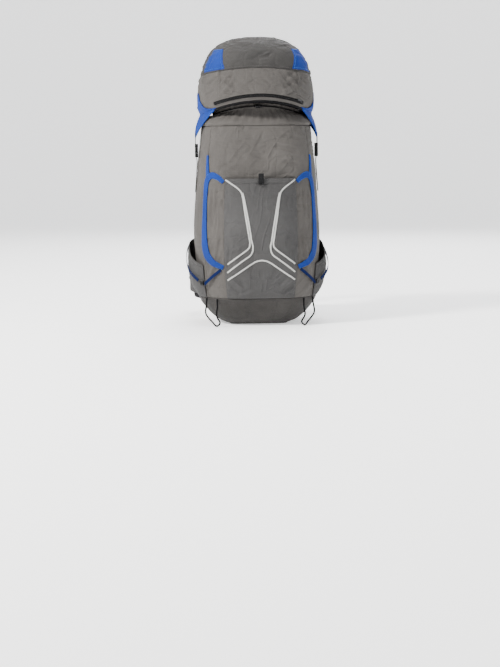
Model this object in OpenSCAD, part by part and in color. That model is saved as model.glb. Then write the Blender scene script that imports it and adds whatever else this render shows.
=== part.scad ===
// Hiking backpack: a framed top-loading pack with a floating lid, a tensioned mesh back,
// a padded harness and a fastened hip belt. Millimetres, +Z up, the pocketed front faces -Y.

/* [Bag] */
// Height of the bag's panels above the ground
bag_h = 545; // [500:5:600]
// Width of the bag across its middle
bag_w = 352; // [320:2:400]
// Distance from the bag's widest line to its front
bag_front = 182; // [160:2:210]
// Distance from the bag's widest line to its back
bag_rear = 88; // [80:1:100]
// Height of the darker base fabric
base_h = 78; // [60:2:100]
// Thickness of the bag's fabric panels
fabric_t = 1.6; // [1:0.1:2.4]
// How far the back wall bows away from the mesh
vent_depth = 30; // [10:1:40]
// Gap between the collar's edge and the lid above it
collar_gap = 13; // [11:1:20]
// Width of the collar's mouth
mouth_w = 240; // [200:5:250]
// Depth of the collar's mouth
mouth_d = 186; // [150:2:190]

/* [Lid] */
// Width of the lid
lid_w = 320; // [290:2:360]
// Distance from the widest line to the lid's front
lid_front = 182; // [172:2:200]
// Distance from the widest line to the lid's back
lid_rear = 78; // [60:1:84]
// Height of the lid's front edge above the bag's panels
lid_gap = 62; // [56:1:80]
// Height of the lid from its front edge to its crown
lid_h = 181; // [120:2:200]
// How much lower the lid's edge is at its corners than at its middle
lid_arch = 36; // [10:1:44]
// How far the lid tips back, in degrees of its joint
lid_open = 75; // [30:1:80]

/* [Pockets] */
// Gap between the front pocket and the bag
pocket_gap = 15; // [12:1:22]
// Height of the front pocket's top edge above the ground
pocket_top = 404; // [350:2:440]
// Gap between a side pocket and the bag
side_gap = 20; // [12:1:26]
// Height of a side pocket's rear edge
side_pocket_high = 236; // [200:2:280]
// Height of a side pocket's front edge
side_pocket_low = 168; // [140:2:190]

/* [Frame] */
// Diameter of the frame's tube
tube_d = 6; // [4:0.5:8]
// Width of the frame between its tube centres
frame_w = 244; // [220:2:260]
// Height of the frame's lowest tube
frame_low = 96; // [90:2:110]
// Height of the frame's top tube
frame_high = 588; // [560:2:600]
// Radius of the frame's corners
frame_r = 56; // [40:2:70]
// Diameter of the two crossbars
crossbar_d = 5; // [4:0.5:6]

/* [Harness] */
// Width of a shoulder strap
shoulder_w = 60; // [50:1:66]
// Thickness of the harness foam
foam_t = 9; // [6:0.5:12]
// Travel of the sternum strap each way along its rails
sternum_travel = 24; // [10:1:26]
// Width of the load-bearing webbing
webbing_w = 20; // [15:1:22]
// Thickness of all webbing
webbing_t = 1.6; // [1.2:0.1:2]

/* [Hip belt] */
// Half width of the closed belt
belt_a = 166; // [150:1:180]
// Half depth of the closed belt
belt_b = 116; // [100:1:130]
// Height of the belt's middle line
belt_z = 92; // [80:1:100]
// Height of a wing where it leaves the back
wing_h = 96; // [80:1:110]

/* [Hardware] */
// Running clearance between parts that slide
clearance = 0.4; // [0.3:0.05:0.6]
// Travel that frees a lid buckle's tongue
lid_release = 15; // [12:1:16]
// Travel that frees the hip buckle's tongue
hip_release = 26; // [20:1:30]
// Travel that frees the sternum buckle's tongue
sternum_release = 16; // [12:1:18]

/* [Hidden] */
$fn = 32;

patch_t = 1.2;                       // base reinforcement
skin = fabric_t + 0.3;               // distance at which a second layer lies on the bag
front_square = 2.7;                  // squareness of the bag's front and back outlines
rear_square = 4.5;
seam = 39;                           // angle of the front seams from straight sideways
rear_seam = 40;                      // angle of the rear seams
pocket_seam = 59;                    // angle of the front pocket's seams
wing_angle = -9;                     // where the lid's straps hang, from straight sideways
wing_w = 15;                         // lid and sternum webbing width
collar_low = bag_h + 0.2;
lid_edge = bag_h + lid_gap;          // the lid's front edge
lid_mid = lid_edge + 43;             // the lid's widest level
frame_y = bag_rear + clearance + tube_d / 2;
mesh_y = frame_y + tube_d / 2 + 0.3;
mesh_t = 1.2;
back_y = mesh_y + mesh_t + 0.3;      // where foam lies on the mesh
anchor_r = 2;                        // bars that the lid's rear straps turn on
anchor_loop = 3.8;
pivot = [0, back_y + anchor_loop + 0.2, bag_h - 55];
belt_y = back_y + foam_t / 2 + belt_b;

// Shares of the bag's height, half width, front and rear depth, from the ground up.
bag_profile = [
    [0.000, 0.50, 0.46, 0.90], [0.020, 0.63, 0.62, 0.94], [0.060, 0.77, 0.75, 0.97], [0.110, 0.90, 0.85, 1.00],
    [0.150, 0.94, 0.91, 1.00], [0.290, 0.98, 0.98, 1.00], [0.450, 1.00, 1.00, 1.00], [0.640, 0.97, 0.98, 1.00],
    [0.800, 0.93, 0.93, 1.00], [0.920, 0.885, 0.87, 0.98], [1.000, 0.86, 0.82, 0.95]
];

// ---- functions ----

function clamp(v, low, high) = max(low, min(high, v));
function mix(a, b, t) = a + (b - a) * t;
function power(v, e) = sign(v) * pow(abs(v), e);
function unit(v) = v / norm(v);
function steps(a, b, n) = [for (i = [0 : n]) mix(a, b, i / n)];

// Smooth curve through rows of a table: column c at height share s.
function row_before(t, s, i = 0) = i >= len(t) - 2 || s < t[i + 1][0] ? i : row_before(t, s, i + 1);
function profile(t, s, c) =
    let (
        n = len(t) - 1, i = row_before(t, s), p = t[i], q = t[i + 1],
        before = t[max(i - 1, 0)], after = t[min(i + 2, n)], d = q[0] - p[0], u = clamp((s - p[0]) / d, 0, 1),
        m = (q[c] - before[c]) / (q[0] - before[0]) * d, k = (after[c] - p[c]) / (after[0] - p[0]) * d
    )
    (2 * u^3 - 3 * u^2 + 1) * p[c] + (u^3 - 2 * u^2 + u) * m + (3 * u^2 - 2 * u^3) * q[c] + (u^3 - u^2) * k;

// Smooth curve through points.
function spline(p, s) =
    let (
        n = len(p) - 1, k = min(floor(s), n - 1), u = s - k,
        a = p[max(k - 1, 0)], b = p[k], c = p[k + 1], d = p[min(k + 2, n)]
    )
    0.5 * (2 * b + (c - a) * u + (2 * a - 5 * b + 4 * c - d) * u^2 + (3 * b - a - 3 * c + d) * u^3);
function smooth_path(p, n) = [for (i = [0 : n]) spline(p, i * (len(p) - 1) / n)];
function mirrored(p) = [for (v = p) [-v.x, v.y, v.z]];

// Radius of a squared ellipse in direction a.
function squared(a, w, d, n) = pow(pow(abs(cos(a)) / w, n) + pow(abs(sin(a)) / d, n), -1 / n);

function vent(z, x) =
    vent_depth * clamp((z - base_h) / 120, 0, 1) * clamp((bag_h - z) / 120, 0, 1)
    * max(0, 1 - pow(x / (0.42 * frame_w), 2));

// Point on the bag at height z in direction a (0 is +X, 270 the front), pushed out by off.
function bag_point(z, a, off) =
    let (
        s = z / bag_h, rear = sin(a) > 0,
        w = bag_w / 2 * profile(bag_profile, s, 1) + off,
        d = rear ? bag_rear * profile(bag_profile, s, 3) + off : bag_front * profile(bag_profile, s, 2) + off,
        r = squared(a, w, d, rear ? rear_square : front_square), x = r * cos(a)
    )
    [x, r * sin(a) - (rear ? vent(z, x) : 0), z];
function bag_grid(angles, heights, off) = [for (a = angles) [for (z = heights) bag_point(z, a, off)]];

// Point on the lid: rise e runs from below its edge (negative) to its crown (90).
function lid_point(e, a, off) =
    let (
        c = pow(max(cos(e), 0), 0.84), h = power(sin(e), 0.84), front = sin(a) < 0,
        r = squared(a, lid_w / 2 * c + off, (front ? lid_front * c : lid_rear * c) + off, front ? 2.2 : 3),
        x = r * cos(a),
        z = lid_mid + (e < 0 ? 97 * h : (lid_h - 43) * h) + (e > 0 ? off * h : 0)
            - lid_arch * pow(x / (lid_w / 2), 2) * pow(1 - max(h, 0), 2)
    )
    [x, r * sin(a), z];

// ---- building blocks ----

function quad_faces(a, b, c, d) = [[a, b, c], [a, c, d]];
function volume_sign(p, f) =
    let (v = [for (t = f) p[t[0]] * cross(p[t[1]], p[t[2]])]) v * [for (t = v) 1];
function outward(p, f) = volume_sign(p, f) < 0 ? f : [for (t = f) [for (i = [len(t) - 1 : -1 : 0]) t[i]]];

// A layer of cloth or foam between two grids of points; closed joins the last row to the first.
module layer(outer, inner, closed = false) {
    n = len(outer);
    m = len(outer[0]);
    points = [for (g = [outer, inner]) for (row = g) for (p = row) p];
    last = closed ? n - 1 : n - 2;
    function id(g, i, j) = g * n * m + (i % n) * m + j;
    faces = [
        for (i = [0 : last]) for (j = [0 : m - 2]) for (f = concat(
            quad_faces(id(0, i, j), id(0, i + 1, j), id(0, i + 1, j + 1), id(0, i, j + 1)),
            quad_faces(id(1, i, j + 1), id(1, i + 1, j + 1), id(1, i + 1, j), id(1, i, j))
        )) f,
        for (i = [0 : last]) for (f = concat(
            quad_faces(id(1, i, 0), id(1, i + 1, 0), id(0, i + 1, 0), id(0, i, 0)),
            quad_faces(id(0, i, m - 1), id(0, i + 1, m - 1), id(1, i + 1, m - 1), id(1, i, m - 1))
        )) f,
        if (!closed) for (j = [0 : m - 2]) for (f = concat(
            quad_faces(id(0, 0, j), id(0, 0, j + 1), id(1, 0, j + 1), id(1, 0, j)),
            quad_faces(id(1, n - 1, j), id(1, n - 1, j + 1), id(0, n - 1, j + 1), id(0, n - 1, j))
        )) f
    ];
    polyhedron(points, outward(points, faces), convexity = 10);
}

// A dish or dome: grids whose rows go round, with the first level capped.
module bowl(outer, inner) {
    n = len(outer);
    m = len(outer[0]);
    points = [for (g = [outer, inner]) for (row = g) for (p = row) p];
    function id(g, i, j) = g * n * m + (i % n) * m + j;
    faces = [
        for (i = [0 : n - 1]) for (j = [0 : m - 2]) for (f = concat(
            quad_faces(id(0, i, j), id(0, i + 1, j), id(0, i + 1, j + 1), id(0, i, j + 1)),
            quad_faces(id(1, i, j + 1), id(1, i + 1, j + 1), id(1, i + 1, j), id(1, i, j))
        )) f,
        for (i = [0 : n - 1]) for (f =
            quad_faces(id(0, i, m - 1), id(0, i + 1, m - 1), id(1, i + 1, m - 1), id(1, i, m - 1))) f,
        for (i = [1 : n - 2]) [id(0, 0, 0), id(0, i + 1, 0), id(0, i, 0)],
        for (i = [1 : n - 2]) [id(1, 0, 0), id(1, i, 0), id(1, i + 1, 0)]
    ];
    polyhedron(points, outward(points, faces), convexity = 10);
}

function tangent(p, i) = unit(p[min(i + 1, len(p) - 1)] - p[max(i - 1, 0)]);

// A flat strap along path p; sides holds the direction of its width at each point, widths its width.
module strap(p, sides, widths, t) {
    function across(i) = let (v = sides[i] - tangent(p, i) * (sides[i] * tangent(p, i))) unit(v);
    function edge(i, k, h) = p[i] + across(i) * k * widths[i] / 2 + cross(tangent(p, i), across(i)) * h * t / 2;
    layer([for (i = [0 : len(p) - 1]) [edge(i, -1, 1), edge(i, 1, 1)]],
        [for (i = [0 : len(p) - 1]) [edge(i, -1, -1), edge(i, 1, -1)]]);
}
module even_strap(p, side, width, t) {
    strap(p, [for (v = p) side], [for (v = p) width], t);
}

// A round cord round a closed loop of points that lies near a level plane.
module cord_ring(p, d) {
    n = len(p);
    function turn(i) = let (v = p[(i + 1) % n] - p[(i + n - 1) % n]) unit([v.y, -v.x, 0]);
    ring = [for (i = [0 : n - 1]) [for (k = [0 : 7]) p[i] + d / 2 * (cos(45 * k) * turn(i) + sin(45 * k) * [0, 0, 1])]];
    points = [for (r = ring) for (v = r) v];
    faces = [for (i = [0 : n - 1]) for (k = [0 : 7]) for (f = quad_faces(
        8 * i + k, 8 * ((i + 1) % n) + k, 8 * ((i + 1) % n) + (k + 1) % 8, 8 * i + (k + 1) % 8)) f];
    polyhedron(points, outward(points, faces), convexity = 6);
}

// A band that lies on the bag along rows of [angle, height]; widths are across it.
module bag_band(route, widths, off, t) {
    n = len(route);
    per_degree = 3.0;
    function step(i) = let (v = route[min(i + 1, n - 1)] - route[max(i - 1, 0)]) unit([v[0] * per_degree, v[1]]);
    function cross_row(i, k) = let (s = step(i)) route[i] + k * widths[i] / 2 * [-s[1] / per_degree, s[0]];
    function row(i, o) = [for (k = [-1, -0.33, 0.33, 1]) let (q = cross_row(i, k)) bag_point(q[1], q[0], o)];
    layer([for (i = [0 : n - 1]) row(i, off + t)], [for (i = [0 : n - 1]) row(i, off)]);
}

module rounded_plate(w, d, r, h) {
    linear_extrude(h) {
        square([w - 2 * r, d], center = true);
        square([w, d - 2 * r], center = true);
        for (x = [-1, 1], y = [-1, 1]) translate([x * (w / 2 - r), y * (d / 2 - r)]) circle(r);
    }
}

// Socket of a side-release buckle: opens upwards, the webbing's slot is at its foot.
module socket(w, t, l, play) {
    wall = 1.6;
    color("#17181a") difference() {
        translate([0, 0, -l]) rounded_plate(w, t, 2, l);
        translate([-(w / 2 - wall), -(t / 2 - wall), -l + 7]) cube([w - 2 * wall, t - 2 * wall, l]);
        translate([-(w / 2 + 1), -1.6, -l + 12]) cube([w + 2, 3.2, 7]);
        translate([-(w / 2 - 3), -t, -l + 2.4]) cube([w - 6, 2 * t, 2.6]);
    }
}

// Tongue of a side-release buckle above its socket, with two prongs that reach down into it.
module tongue(w, t, reach, play, strap_w) {
    wall = 1.6;
    prong_t = t - 2 * wall - 2 * play[1];
    half = w / 2 - wall - play[0];
    color("#17181a") difference() {
        union() {
            translate([0, 0, 0.3]) rounded_plate(w, t, 2, 11);
            for (s = [-1, 1]) translate([s * (half - 1.6) - 1.6, -prong_t / 2, 0.4 - reach])
                cube([3.2, prong_t, reach + 2]);
        }
        translate([-(strap_w / 2 + 0.5), t / 2 - 2.9, -reach]) cube([strap_w + 1, 2.4, reach + 20]);
    }
}

module zip_slider() {
    color("#17181a") {
        translate([-4, -5, 0]) cube([8, 10, 1.6]);
        translate([-1.2, -3, 1.5]) cube([2.4, 6, 1.8]);
        translate([-2.5, -2, 3.2]) cube([5, 20, 1.4]);
    }
}

// Puts children at a point, with their x, y and z along three square directions.
module place(at, u, v, w) {
    multmatrix([[u.x, v.x, w.x, at.x], [u.y, v.y, w.y, at.y], [u.z, v.z, w.z, at.z]]) children();
}
// Puts children on the bag: x runs round it, y up it and z out of it.
module on_surface(z, a, off) {
    along = unit(bag_point(z, a + 1, off) - bag_point(z, a - 1, off));
    up = let (v = bag_point(z + 4, a, off) - bag_point(z - 4, a, off)) unit(v - along * (v * along));
    place(bag_point(z, a, off), along, up, cross(along, up)) children();
}

module both(side) {
    if (side < 0) mirror([1, 0, 0]) children();
    else children();
}

// ---- bag ----

module base_patch() {
    color("#3f3c3b") rounded_plate(0.45 * bag_w, 0.82 * bag_rear + 0.40 * bag_front, 20, patch_t);
}

module base_panel() {
    angles = [for (i = [0 : 35]) i * 10];
    heights = [0, 6, 14, 26, 42, 60, base_h];
    lift = patch_t + 0.1;
    function raised(a, z, off) = let (p = bag_point(z, a, off)) [p.x, p.y, max(z, lift + (off < 0 ? fabric_t : 0))];
    color("#5a5654") bowl(
        [for (a = angles) [for (z = heights) raised(a, z, 0)]],
        [for (a = angles) [for (z = heights) raised(a, z, -fabric_t)]]);
}

panel_levels = steps(base_h + 0.2, bag_h, 11);
module bag_panel(from, to, n) {
    color("#85807b") layer(bag_grid(steps(from, to, n), panel_levels, 0),
        bag_grid(steps(from, to, n), panel_levels, -fabric_t));
}
module front_panel() { bag_panel(180 + seam, 360 - seam, 14); }
module side_panel(side) { both(side) bag_panel(0.15 - seam, rear_seam - 0.15, 8); }
module rear_panel() { bag_panel(rear_seam, 180 - rear_seam, 20); }

// The collar gathers the top of the bag into its mouth, which follows the lid's arched edge.
mouth_y = -32;
function collar_top(x) = lid_edge + 1 - collar_gap - lid_arch * pow(x / (lid_w / 2), 2);
function mouth_point(a, off) = [(mouth_w / 2 + off) * cos(a), mouth_y + (mouth_d / 2 + off) * sin(a)];
function collar_point(t, a, off) =
    let (low = bag_point(bag_h, a, off), high = mouth_point(a, off), s = t * t * (3 - 2 * t))
    [mix(low.x, high[0], s), mix(low.y, high[1], s), mix(collar_low, collar_top(mouth_point(a, 0)[0]), t)];
module collar() {
    angles = [for (i = [0 : 29]) i * 12];
    color("#85807b") layer([for (a = angles) [for (t = steps(0, 1, 5)) collar_point(t, a, 0)]],
        [for (a = angles) [for (t = steps(0, 1, 5)) collar_point(t, a, -fabric_t)]], closed = true);
}
cord_d = 3;
cord_z = lid_edge + 1 - collar_gap + cord_d / 2 + 0.1;
lock_r = 5.2;
lock_y = mouth_y - mouth_d / 2 + fabric_t / 2 - cord_d / 2 - lock_r - 0.3;
module collar_drawcord() {
    ring = [for (i = [0 : 29]) let (m = mouth_point(12 * i, -fabric_t / 2))
        [m[0], m[1], cord_z - lid_arch * pow(m[0] / (lid_w / 2), 2)]];
    color("#1b1c1f") {
        cord_ring(ring, cord_d);
        for (x = [-1.6, 1.6]) translate([x, lock_y + lock_r + 1.8, cord_z]) rotate([90, 0, 0]) cylinder(d = cord_d, h = 34);
    }
}
module collar_cord_lock() {
    color("#17181a") translate([0, lock_y, cord_z]) difference() {
        union() {
            rotate([0, 90, 0]) translate([0, 0, -8]) cylinder(r = lock_r, h = 12);
            rotate([0, 90, 0]) translate([0, 0, 3.8]) cylinder(r = lock_r - 1.5, h = 5);
        }
        translate([-3.4, -10, -1.8]) cube([6.8, 20, 3.6]);
    }
}

// ---- pockets ----

function pocket_off(a, z) =
    let (u = (a - 270) / (90 - pocket_seam), v = (z - base_h) / (pocket_top - base_h))
    skin + pocket_gap * (1 - pow(abs(u), 3.2)) * (1 - pow(1 - clamp(v, 0, 1), 5));
module front_pocket() {
    angles = steps(180 + pocket_seam, 360 - pocket_seam, 14);
    levels = steps(base_h + 1, pocket_top, 10);
    color("#78746f") layer(
        [for (a = angles) [for (z = levels) bag_point(z, a, pocket_off(a, z) - 0.2)]],
        [for (a = angles) [for (z = levels) bag_point(z, a, pocket_off(a, z) - fabric_t + 0.2)]]);
}

clip_w = 14;
clip_y = -bag_front * profile(bag_profile, pocket_top / bag_h, 2) - pocket_off(270, pocket_top) - 5;
module pocket_clip_socket() {
    translate([0, clip_y, pocket_top + 2]) socket(clip_w, 7, 18, 0.5);
}
module pocket_clip_tongue() {
    translate([0, clip_y, pocket_top + 2]) rotate([0, 0, 180]) tongue(clip_w, 7, 8, [0.5, 0.4], 6);
}

side_front = -seam + 3.2;
side_back = rear_seam - 14;
function side_top(a) = mix(side_pocket_low, side_pocket_high, (a - side_front) / (side_back - side_front));
function side_off(a, v) =
    let (u = 2 * (a - side_front) / (side_back - side_front) - 1)
    skin + side_gap * (1 - pow(abs(u), 3)) * (1 - pow(1 - v, 4));
module side_pocket(side) {
    angles = steps(side_front, side_back, 12);
    function rows(o) = [for (a = angles) [for (v = steps(0, 1, 8))
        bag_point(mix(base_h + 1, side_top(a), v), a, side_off(a, v) + o)]];
    color("#807b76") both(side) layer(rows(-0.2), rows(-fabric_t + 0.2));
}

// The blue yoke runs down the side seam and turns in to the front pocket's corners.
yoke_route = [
    [-pocket_seam + 1, pocket_top - 10], [-53, pocket_top + 2], [-47, pocket_top + 8], [-42.5, pocket_top + 3],
    [-39.8, pocket_top - 14], [-39.2, 350], [-39.2, 300], [-39.2, 250], [-40, 215], [-43, 192], [-49, 176],
    [-pocket_seam + 1, 164]
];
yoke_width = [10, 14, 17, 18, 18, 16, 17, 20, 24, 23, 18, 12];
module side_yoke(side) {
    color("#1268c8") both(side) {
        bag_band(yoke_route, yoke_width, 1, 1.2);
        bag_band([[-41.5, pocket_top], [-40, pocket_top + 30], [-38.8, pocket_top + 62]], [14, 11, 8], 1, 1.2);
    }
}

// ---- straps on the bag ----

compress_path = [
    bag_point(228, 30, 1.3), bag_point(214, 20, side_gap - 2), bag_point(200, 10, side_gap + 5.4), bag_point(172, -8, side_gap + 6.4),
    bag_point(148, -22, side_gap + 4), bag_point(126, -32.6, side_gap - 5)
];
module compression_strap(side) {
    color("#16243f") both(side) {
        even_strap(smooth_path(compress_path, 14), [0, 0, 1], 8, webbing_t);
        even_strap([for (k = steps(0, 1, 6)) bag_point(mix(117, 158, k), mix(-39.2, -pocket_seam + 3, k), mix(9, 3.1, k))],
            [0, 0, 1], 8, webbing_t);
    }
}
module compression_buckle(side) {
    color("#17181a") both(side) on_surface(119.5, -36.3, 11) difference() {
        translate([0, 0, -2]) rounded_plate(15, 13, 2, 4);
        translate([-4.5, -4.5, -4]) cube([3, 9, 8]);
        translate([1.5, -4.5, -4]) cube([3, 9, 8]);
    }
}

lid_buckle_x = bag_point(pivot.z - 30, 0, 0).x + 5.2;
lid_buckle_y = -26;
socket_z = pivot.z - 4;
module lid_buckle_at(side) {
    both(side) translate([lid_buckle_x, lid_buckle_y, socket_z]) rotate([0, 0, 90]) children();
}
module lid_buckle_socket(side) { lid_buckle_at(side) socket(26, 8.4, 26, 2); }
module lid_buckle_tongue(side) {
    lid_buckle_at(side) rotate([0, 0, 180]) tongue(26, 8.4, lid_release - 1, [2.2, 0.6], wing_w);
}
module lid_anchor_strap(side) {
    drops = [26.4, 36, 50, 70, 95, 122];
    lifts = [4.4, 3.2, 2.2, 1.6, 1.5, 1.5];
    color("#1b1c1f") both(side) even_strap([for (i = [0 : 5]) let (q = bag_point(socket_z - drops[i], -9, lifts[i]))
        [i == 0 ? lid_buckle_x : q.x, lid_buckle_y, q.z]], [0, 1, 0], wing_w, webbing_t);
}
anchor_x = frame_w / 2 - 14;
module lid_strap_anchors() {
    color("#17181a") for (s = [-1, 1]) translate([s * anchor_x, pivot.y, pivot.z]) {
        translate([-12, 0, 0]) rotate([0, 90, 0]) cylinder(r = anchor_r, h = 24);
        for (x = [-12, 9]) translate([x, back_y - pivot.y, -6]) cube([3, anchor_loop + 4, 12]);
    }
}

pad_x = [104, 134];
module pad_strap(side) {
    front = [for (x = pad_x) let (a = 360 - acos(clamp(x / (bag_w / 2 * 0.97), 0, 1)) * 0.93) bag_point(base_h - 2, a, 1.4)];
    path = [
        front[0], front[0] + [-0.5, -4, -20], front[0] + [2, -6, -45], [pad_x[0] + 8, front[0].y - 5, 12],
        [(pad_x[0] + pad_x[1]) / 2 + 2, front[0].y - 3, 2.6], [pad_x[1] - 2, front[1].y - 18, 12],
        front[1] + [3, -12, -42], front[1] + [1.5, -5, -18], front[1]
    ];
    color("#17181a") both(side) even_strap(smooth_path(path, 22), [0.5, -0.86, 0], 4, webbing_t);
}

// The haul loop is an arch of webbing that leans back from the top of the mesh.
loop_tilt = 50;
module haul_loop() {
    out = [0, sin(loop_tilt), cos(loop_tilt)];
    flat = [0, cos(loop_tilt), -sin(loop_tilt)];
    arch = [[-27, 0], [-27, 12], [-21, 25], [-9, 31], [9, 31], [21, 25], [27, 12], [27, 0]];
    path = [for (q = arch) [q[0], back_y + 7 * cos(loop_tilt) + 0.2, frame_high - 34] + q[1] * out];
    color("#17181a") even_strap(smooth_path(path, 21), flat, 14, 2.4);
}

// ---- frame ----

module frame_rod() {
    half = frame_w / 2;
    color("#b9bcc0") translate([0, frame_y, 0]) {
        for (s = [-1, 1]) translate([s * half, 0, frame_low + frame_r])
            cylinder(d = tube_d, h = frame_high - frame_low - 2 * frame_r);
        for (z = [frame_low, frame_high]) translate([-(half - frame_r), 0, z]) rotate([0, 90, 0])
            cylinder(d = tube_d, h = 2 * (half - frame_r));
        for (s = [0, 180], u = [0, 180]) rotate([0, s, 0])
            translate([half - frame_r, 0, 0]) rotate([u, 0, 0])
                translate([0, 0, frame_corner(s, u)]) rotate([90, 0, 0])
                    rotate_extrude(angle = 90) translate([frame_r, 0]) circle(d = tube_d);
    }
}
// Level of a corner's centre, seen in its own turned frame.
function frame_corner(s, u) =
    let (up = (s == 0) == (u == 0), z = up ? frame_high - frame_r : frame_low + frame_r, turned = (s == 180) != (u == 180))
    turned ? -z : z;

// A crossbar bows away from the mesh between the frame's sides.
module crossbar(z) {
    half = frame_w / 2 - tube_d / 2;
    sag = 8;
    r = (half * half + sag * sag) / (2 * sag);
    sweep = 2 * asin(half / r);
    color("#b9bcc0") translate([0, frame_y + r - sag, z]) rotate([0, 0, 270 - sweep / 2 + 0.02])
        rotate_extrude(angle = sweep - 0.04) translate([r, 0]) circle(d = crossbar_d);
}

module back_mesh() {
    color("#2b2d31") translate([0, mesh_y + mesh_t, (frame_low + frame_high) / 2]) rotate([90, 0, 0])
        rounded_plate(frame_w + tube_d, frame_high - frame_low + tube_d - 6, frame_r, mesh_t);
}

module lumbar_pad() {
    function rows(off) = [for (a = steps(-wing_from + 0.25, wing_from - 0.25, 12)) [for (k = [-1, -0.6, 0, 0.6, 1])
        belt_point(a, -off * (1 - 0.4 * pow(abs(k), 3))) + [0, 0, 8 + k * (wing_h / 2 + 3)]]];
    color("#26282c") layer(rows(foam_t / 2), rows(-foam_t / 2));
}

// ---- harness ----

module harness_yoke() {
    color("#26282c") translate([0, back_y + foam_t, 452]) rotate([90, 0, 0]) rounded_plate(168, 62, 16, foam_t);
}

chest_y = back_y + 196;
strap_x = 88;
shoulder_path = [
    [46, back_y + foam_t / 2 + 3, 489], [51, back_y + 21, 520], [60, back_y + 58, 541], [68, back_y + 108, 528],
    [78, back_y + 158, 490], [86, chest_y - 5, 446], [strap_x, chest_y, 426], [strap_x, chest_y, 391],
    [strap_x, chest_y, 356], [strap_x + 5, chest_y - 7, 326], [strap_x + 14, chest_y - 21, 294], [strap_x + 26, chest_y - 42, 262]
];
shoulder_side = [
    [1, 0, 0], [1, 0, 0], [1, 0.05, 0], [1, 0.1, 0], [1, 0.05, 0], [1, 0, 0], [1, 0, 0], [1, 0, 0],
    [1, 0, 0], [1, -0.05, 0], [1, -0.1, 0], [1, -0.2, 0]
];
shoulder_width = [0.85, 0.95, 1, 1, 1, 1, 1, 1, 0.96, 0.88, 0.78, 0.66] * shoulder_w;
module shoulder_strap(side) {
    n = 30;
    color("#26282c") both(side) strap(smooth_path(shoulder_path, n), smooth_path(shoulder_side, n),
        [for (i = [0 : n]) spline(shoulder_width, i * (len(shoulder_width) - 1) / n)], foam_t);
}

strap_end = shoulder_path[len(shoulder_path) - 1];
lower_foot = [frame_w / 2 - 4, back_y + webbing_t / 2 + 0.3, 130];
lower_dir = unit(lower_foot - strap_end);
lower_side = let (v = [1, -0.2, 0] - lower_dir * ([1, -0.2, 0] * lower_dir)) unit(v);
lower_start = strap_end + lower_dir * 19;
module shoulder_ladderlocks() {
    color("#17181a") for (side = [-1, 1]) both(side)
        place(strap_end + lower_dir * 11.3, lower_side, lower_dir, cross(lower_side, lower_dir)) difference() {
            translate([0, 0, -2.2]) rounded_plate(webbing_w + 8, 15, 2, 4.4);
            for (y = [-2.6, 2.6]) translate([-webbing_w / 2 - 0.5, y - 1.3, -4]) cube([webbing_w + 1, 2.6, 8]);
        }
}
module shoulder_webbing() {
    path = smooth_path([lower_start, mix(lower_start, lower_foot, 0.33) + [2, 1, -1],
        mix(lower_start, lower_foot, 0.7) + [2, 2, -1], lower_foot], 10);
    color("#1b1c1f") for (side = [-1, 1]) both(side) strap(path,
        [for (k = steps(0, 1, 10)) mix(lower_side, [1, 0, 0], k)], [for (q = path) webbing_w * 0.8], webbing_t);
}

lifter_top = [50, back_y + webbing_t / 2 + 0.3, frame_high - 8];
lifter_low = [65, back_y + 92, 547];
lifter_dir = unit(lifter_low - lifter_top);
lifter_side = let (v = [1, 0, 0] - lifter_dir * lifter_dir.x) unit(v);
module load_lifters() {
    color("#1b1c1f") for (side = [-1, 1]) both(side)
        even_strap([lifter_top, lifter_low], lifter_side, wing_w, webbing_t);
    color("#17181a") for (side = [-1, 1]) both(side)
        place(mix(lifter_top, lifter_low, 0.5), lifter_side, lifter_dir, cross(lifter_side, lifter_dir)) difference() {
            translate([0, 0, -2.6]) rounded_plate(wing_w + 8, 14, 2, 5.2);
            translate([-wing_w / 2 - 0.5, -12, -1.3]) cube([wing_w + 1, 24, 2.6]);
        }
}

// ---- sternum strap ----

rail_y = chest_y + foam_t / 2 + 2.1;
sternum_z = 391;
rail_x = strap_x - 8;
module sternum_rails() {
    span = sternum_travel + 12;
    color("#17181a") for (s = [-1, 1]) translate([s * rail_x, rail_y, sternum_z]) {
        translate([0, 0, -span]) cylinder(d = 2.4, h = 2 * span);
        for (z = [-span, span]) translate([-4, -1.7, z - 3]) cube([8, 3.4, 6]);
    }
}
sternum_y = rail_y + 5.5;
sternum_mouth = 0;
module sternum_carriage() {
    difference() {
        translate([-6, -1.5, -8]) cube([12, 9, 16]);
        cylinder(d = 2.4 + 2 * clearance, h = 40, center = true);
        translate([-7, 5.5 - webbing_t / 2 - 0.4, -6.4]) cube([14, webbing_t + 0.8, 12.8]);
    }
}
module sternum_buckle_at() {
    translate([sternum_mouth, sternum_y, sternum_z]) rotate([0, 90, 0]) children();
}
sternum_web = wing_w - 4;
tongue_lift = 2.3;
module sternum_strap() {
    color("#17181a") for (s = [-1, 1]) translate([s * rail_x, rail_y, sternum_z]) sternum_carriage();
    color("#1b1c1f") {
        translate([-rail_x - 5, sternum_y - webbing_t / 2, sternum_z - sternum_web / 2])
            cube([rail_x + 5 + sternum_mouth - 28.3, webbing_t, sternum_web]);
        even_strap([[sternum_mouth + 1, sternum_y + tongue_lift, sternum_z], [sternum_mouth + 34, sternum_y + tongue_lift, sternum_z],
            [rail_x - 16, sternum_y, sternum_z], [rail_x + 5, sternum_y, sternum_z]], [0, 0, 1], sternum_web, webbing_t);
    }
    sternum_buckle_at() socket(20, 8, 28, 0.5);
}
module sternum_tongue() {
    sternum_buckle_at() tongue(20, 8, sternum_release - 4, [0.5, 0.5], sternum_web);
}

// ---- hip belt ----

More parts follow.
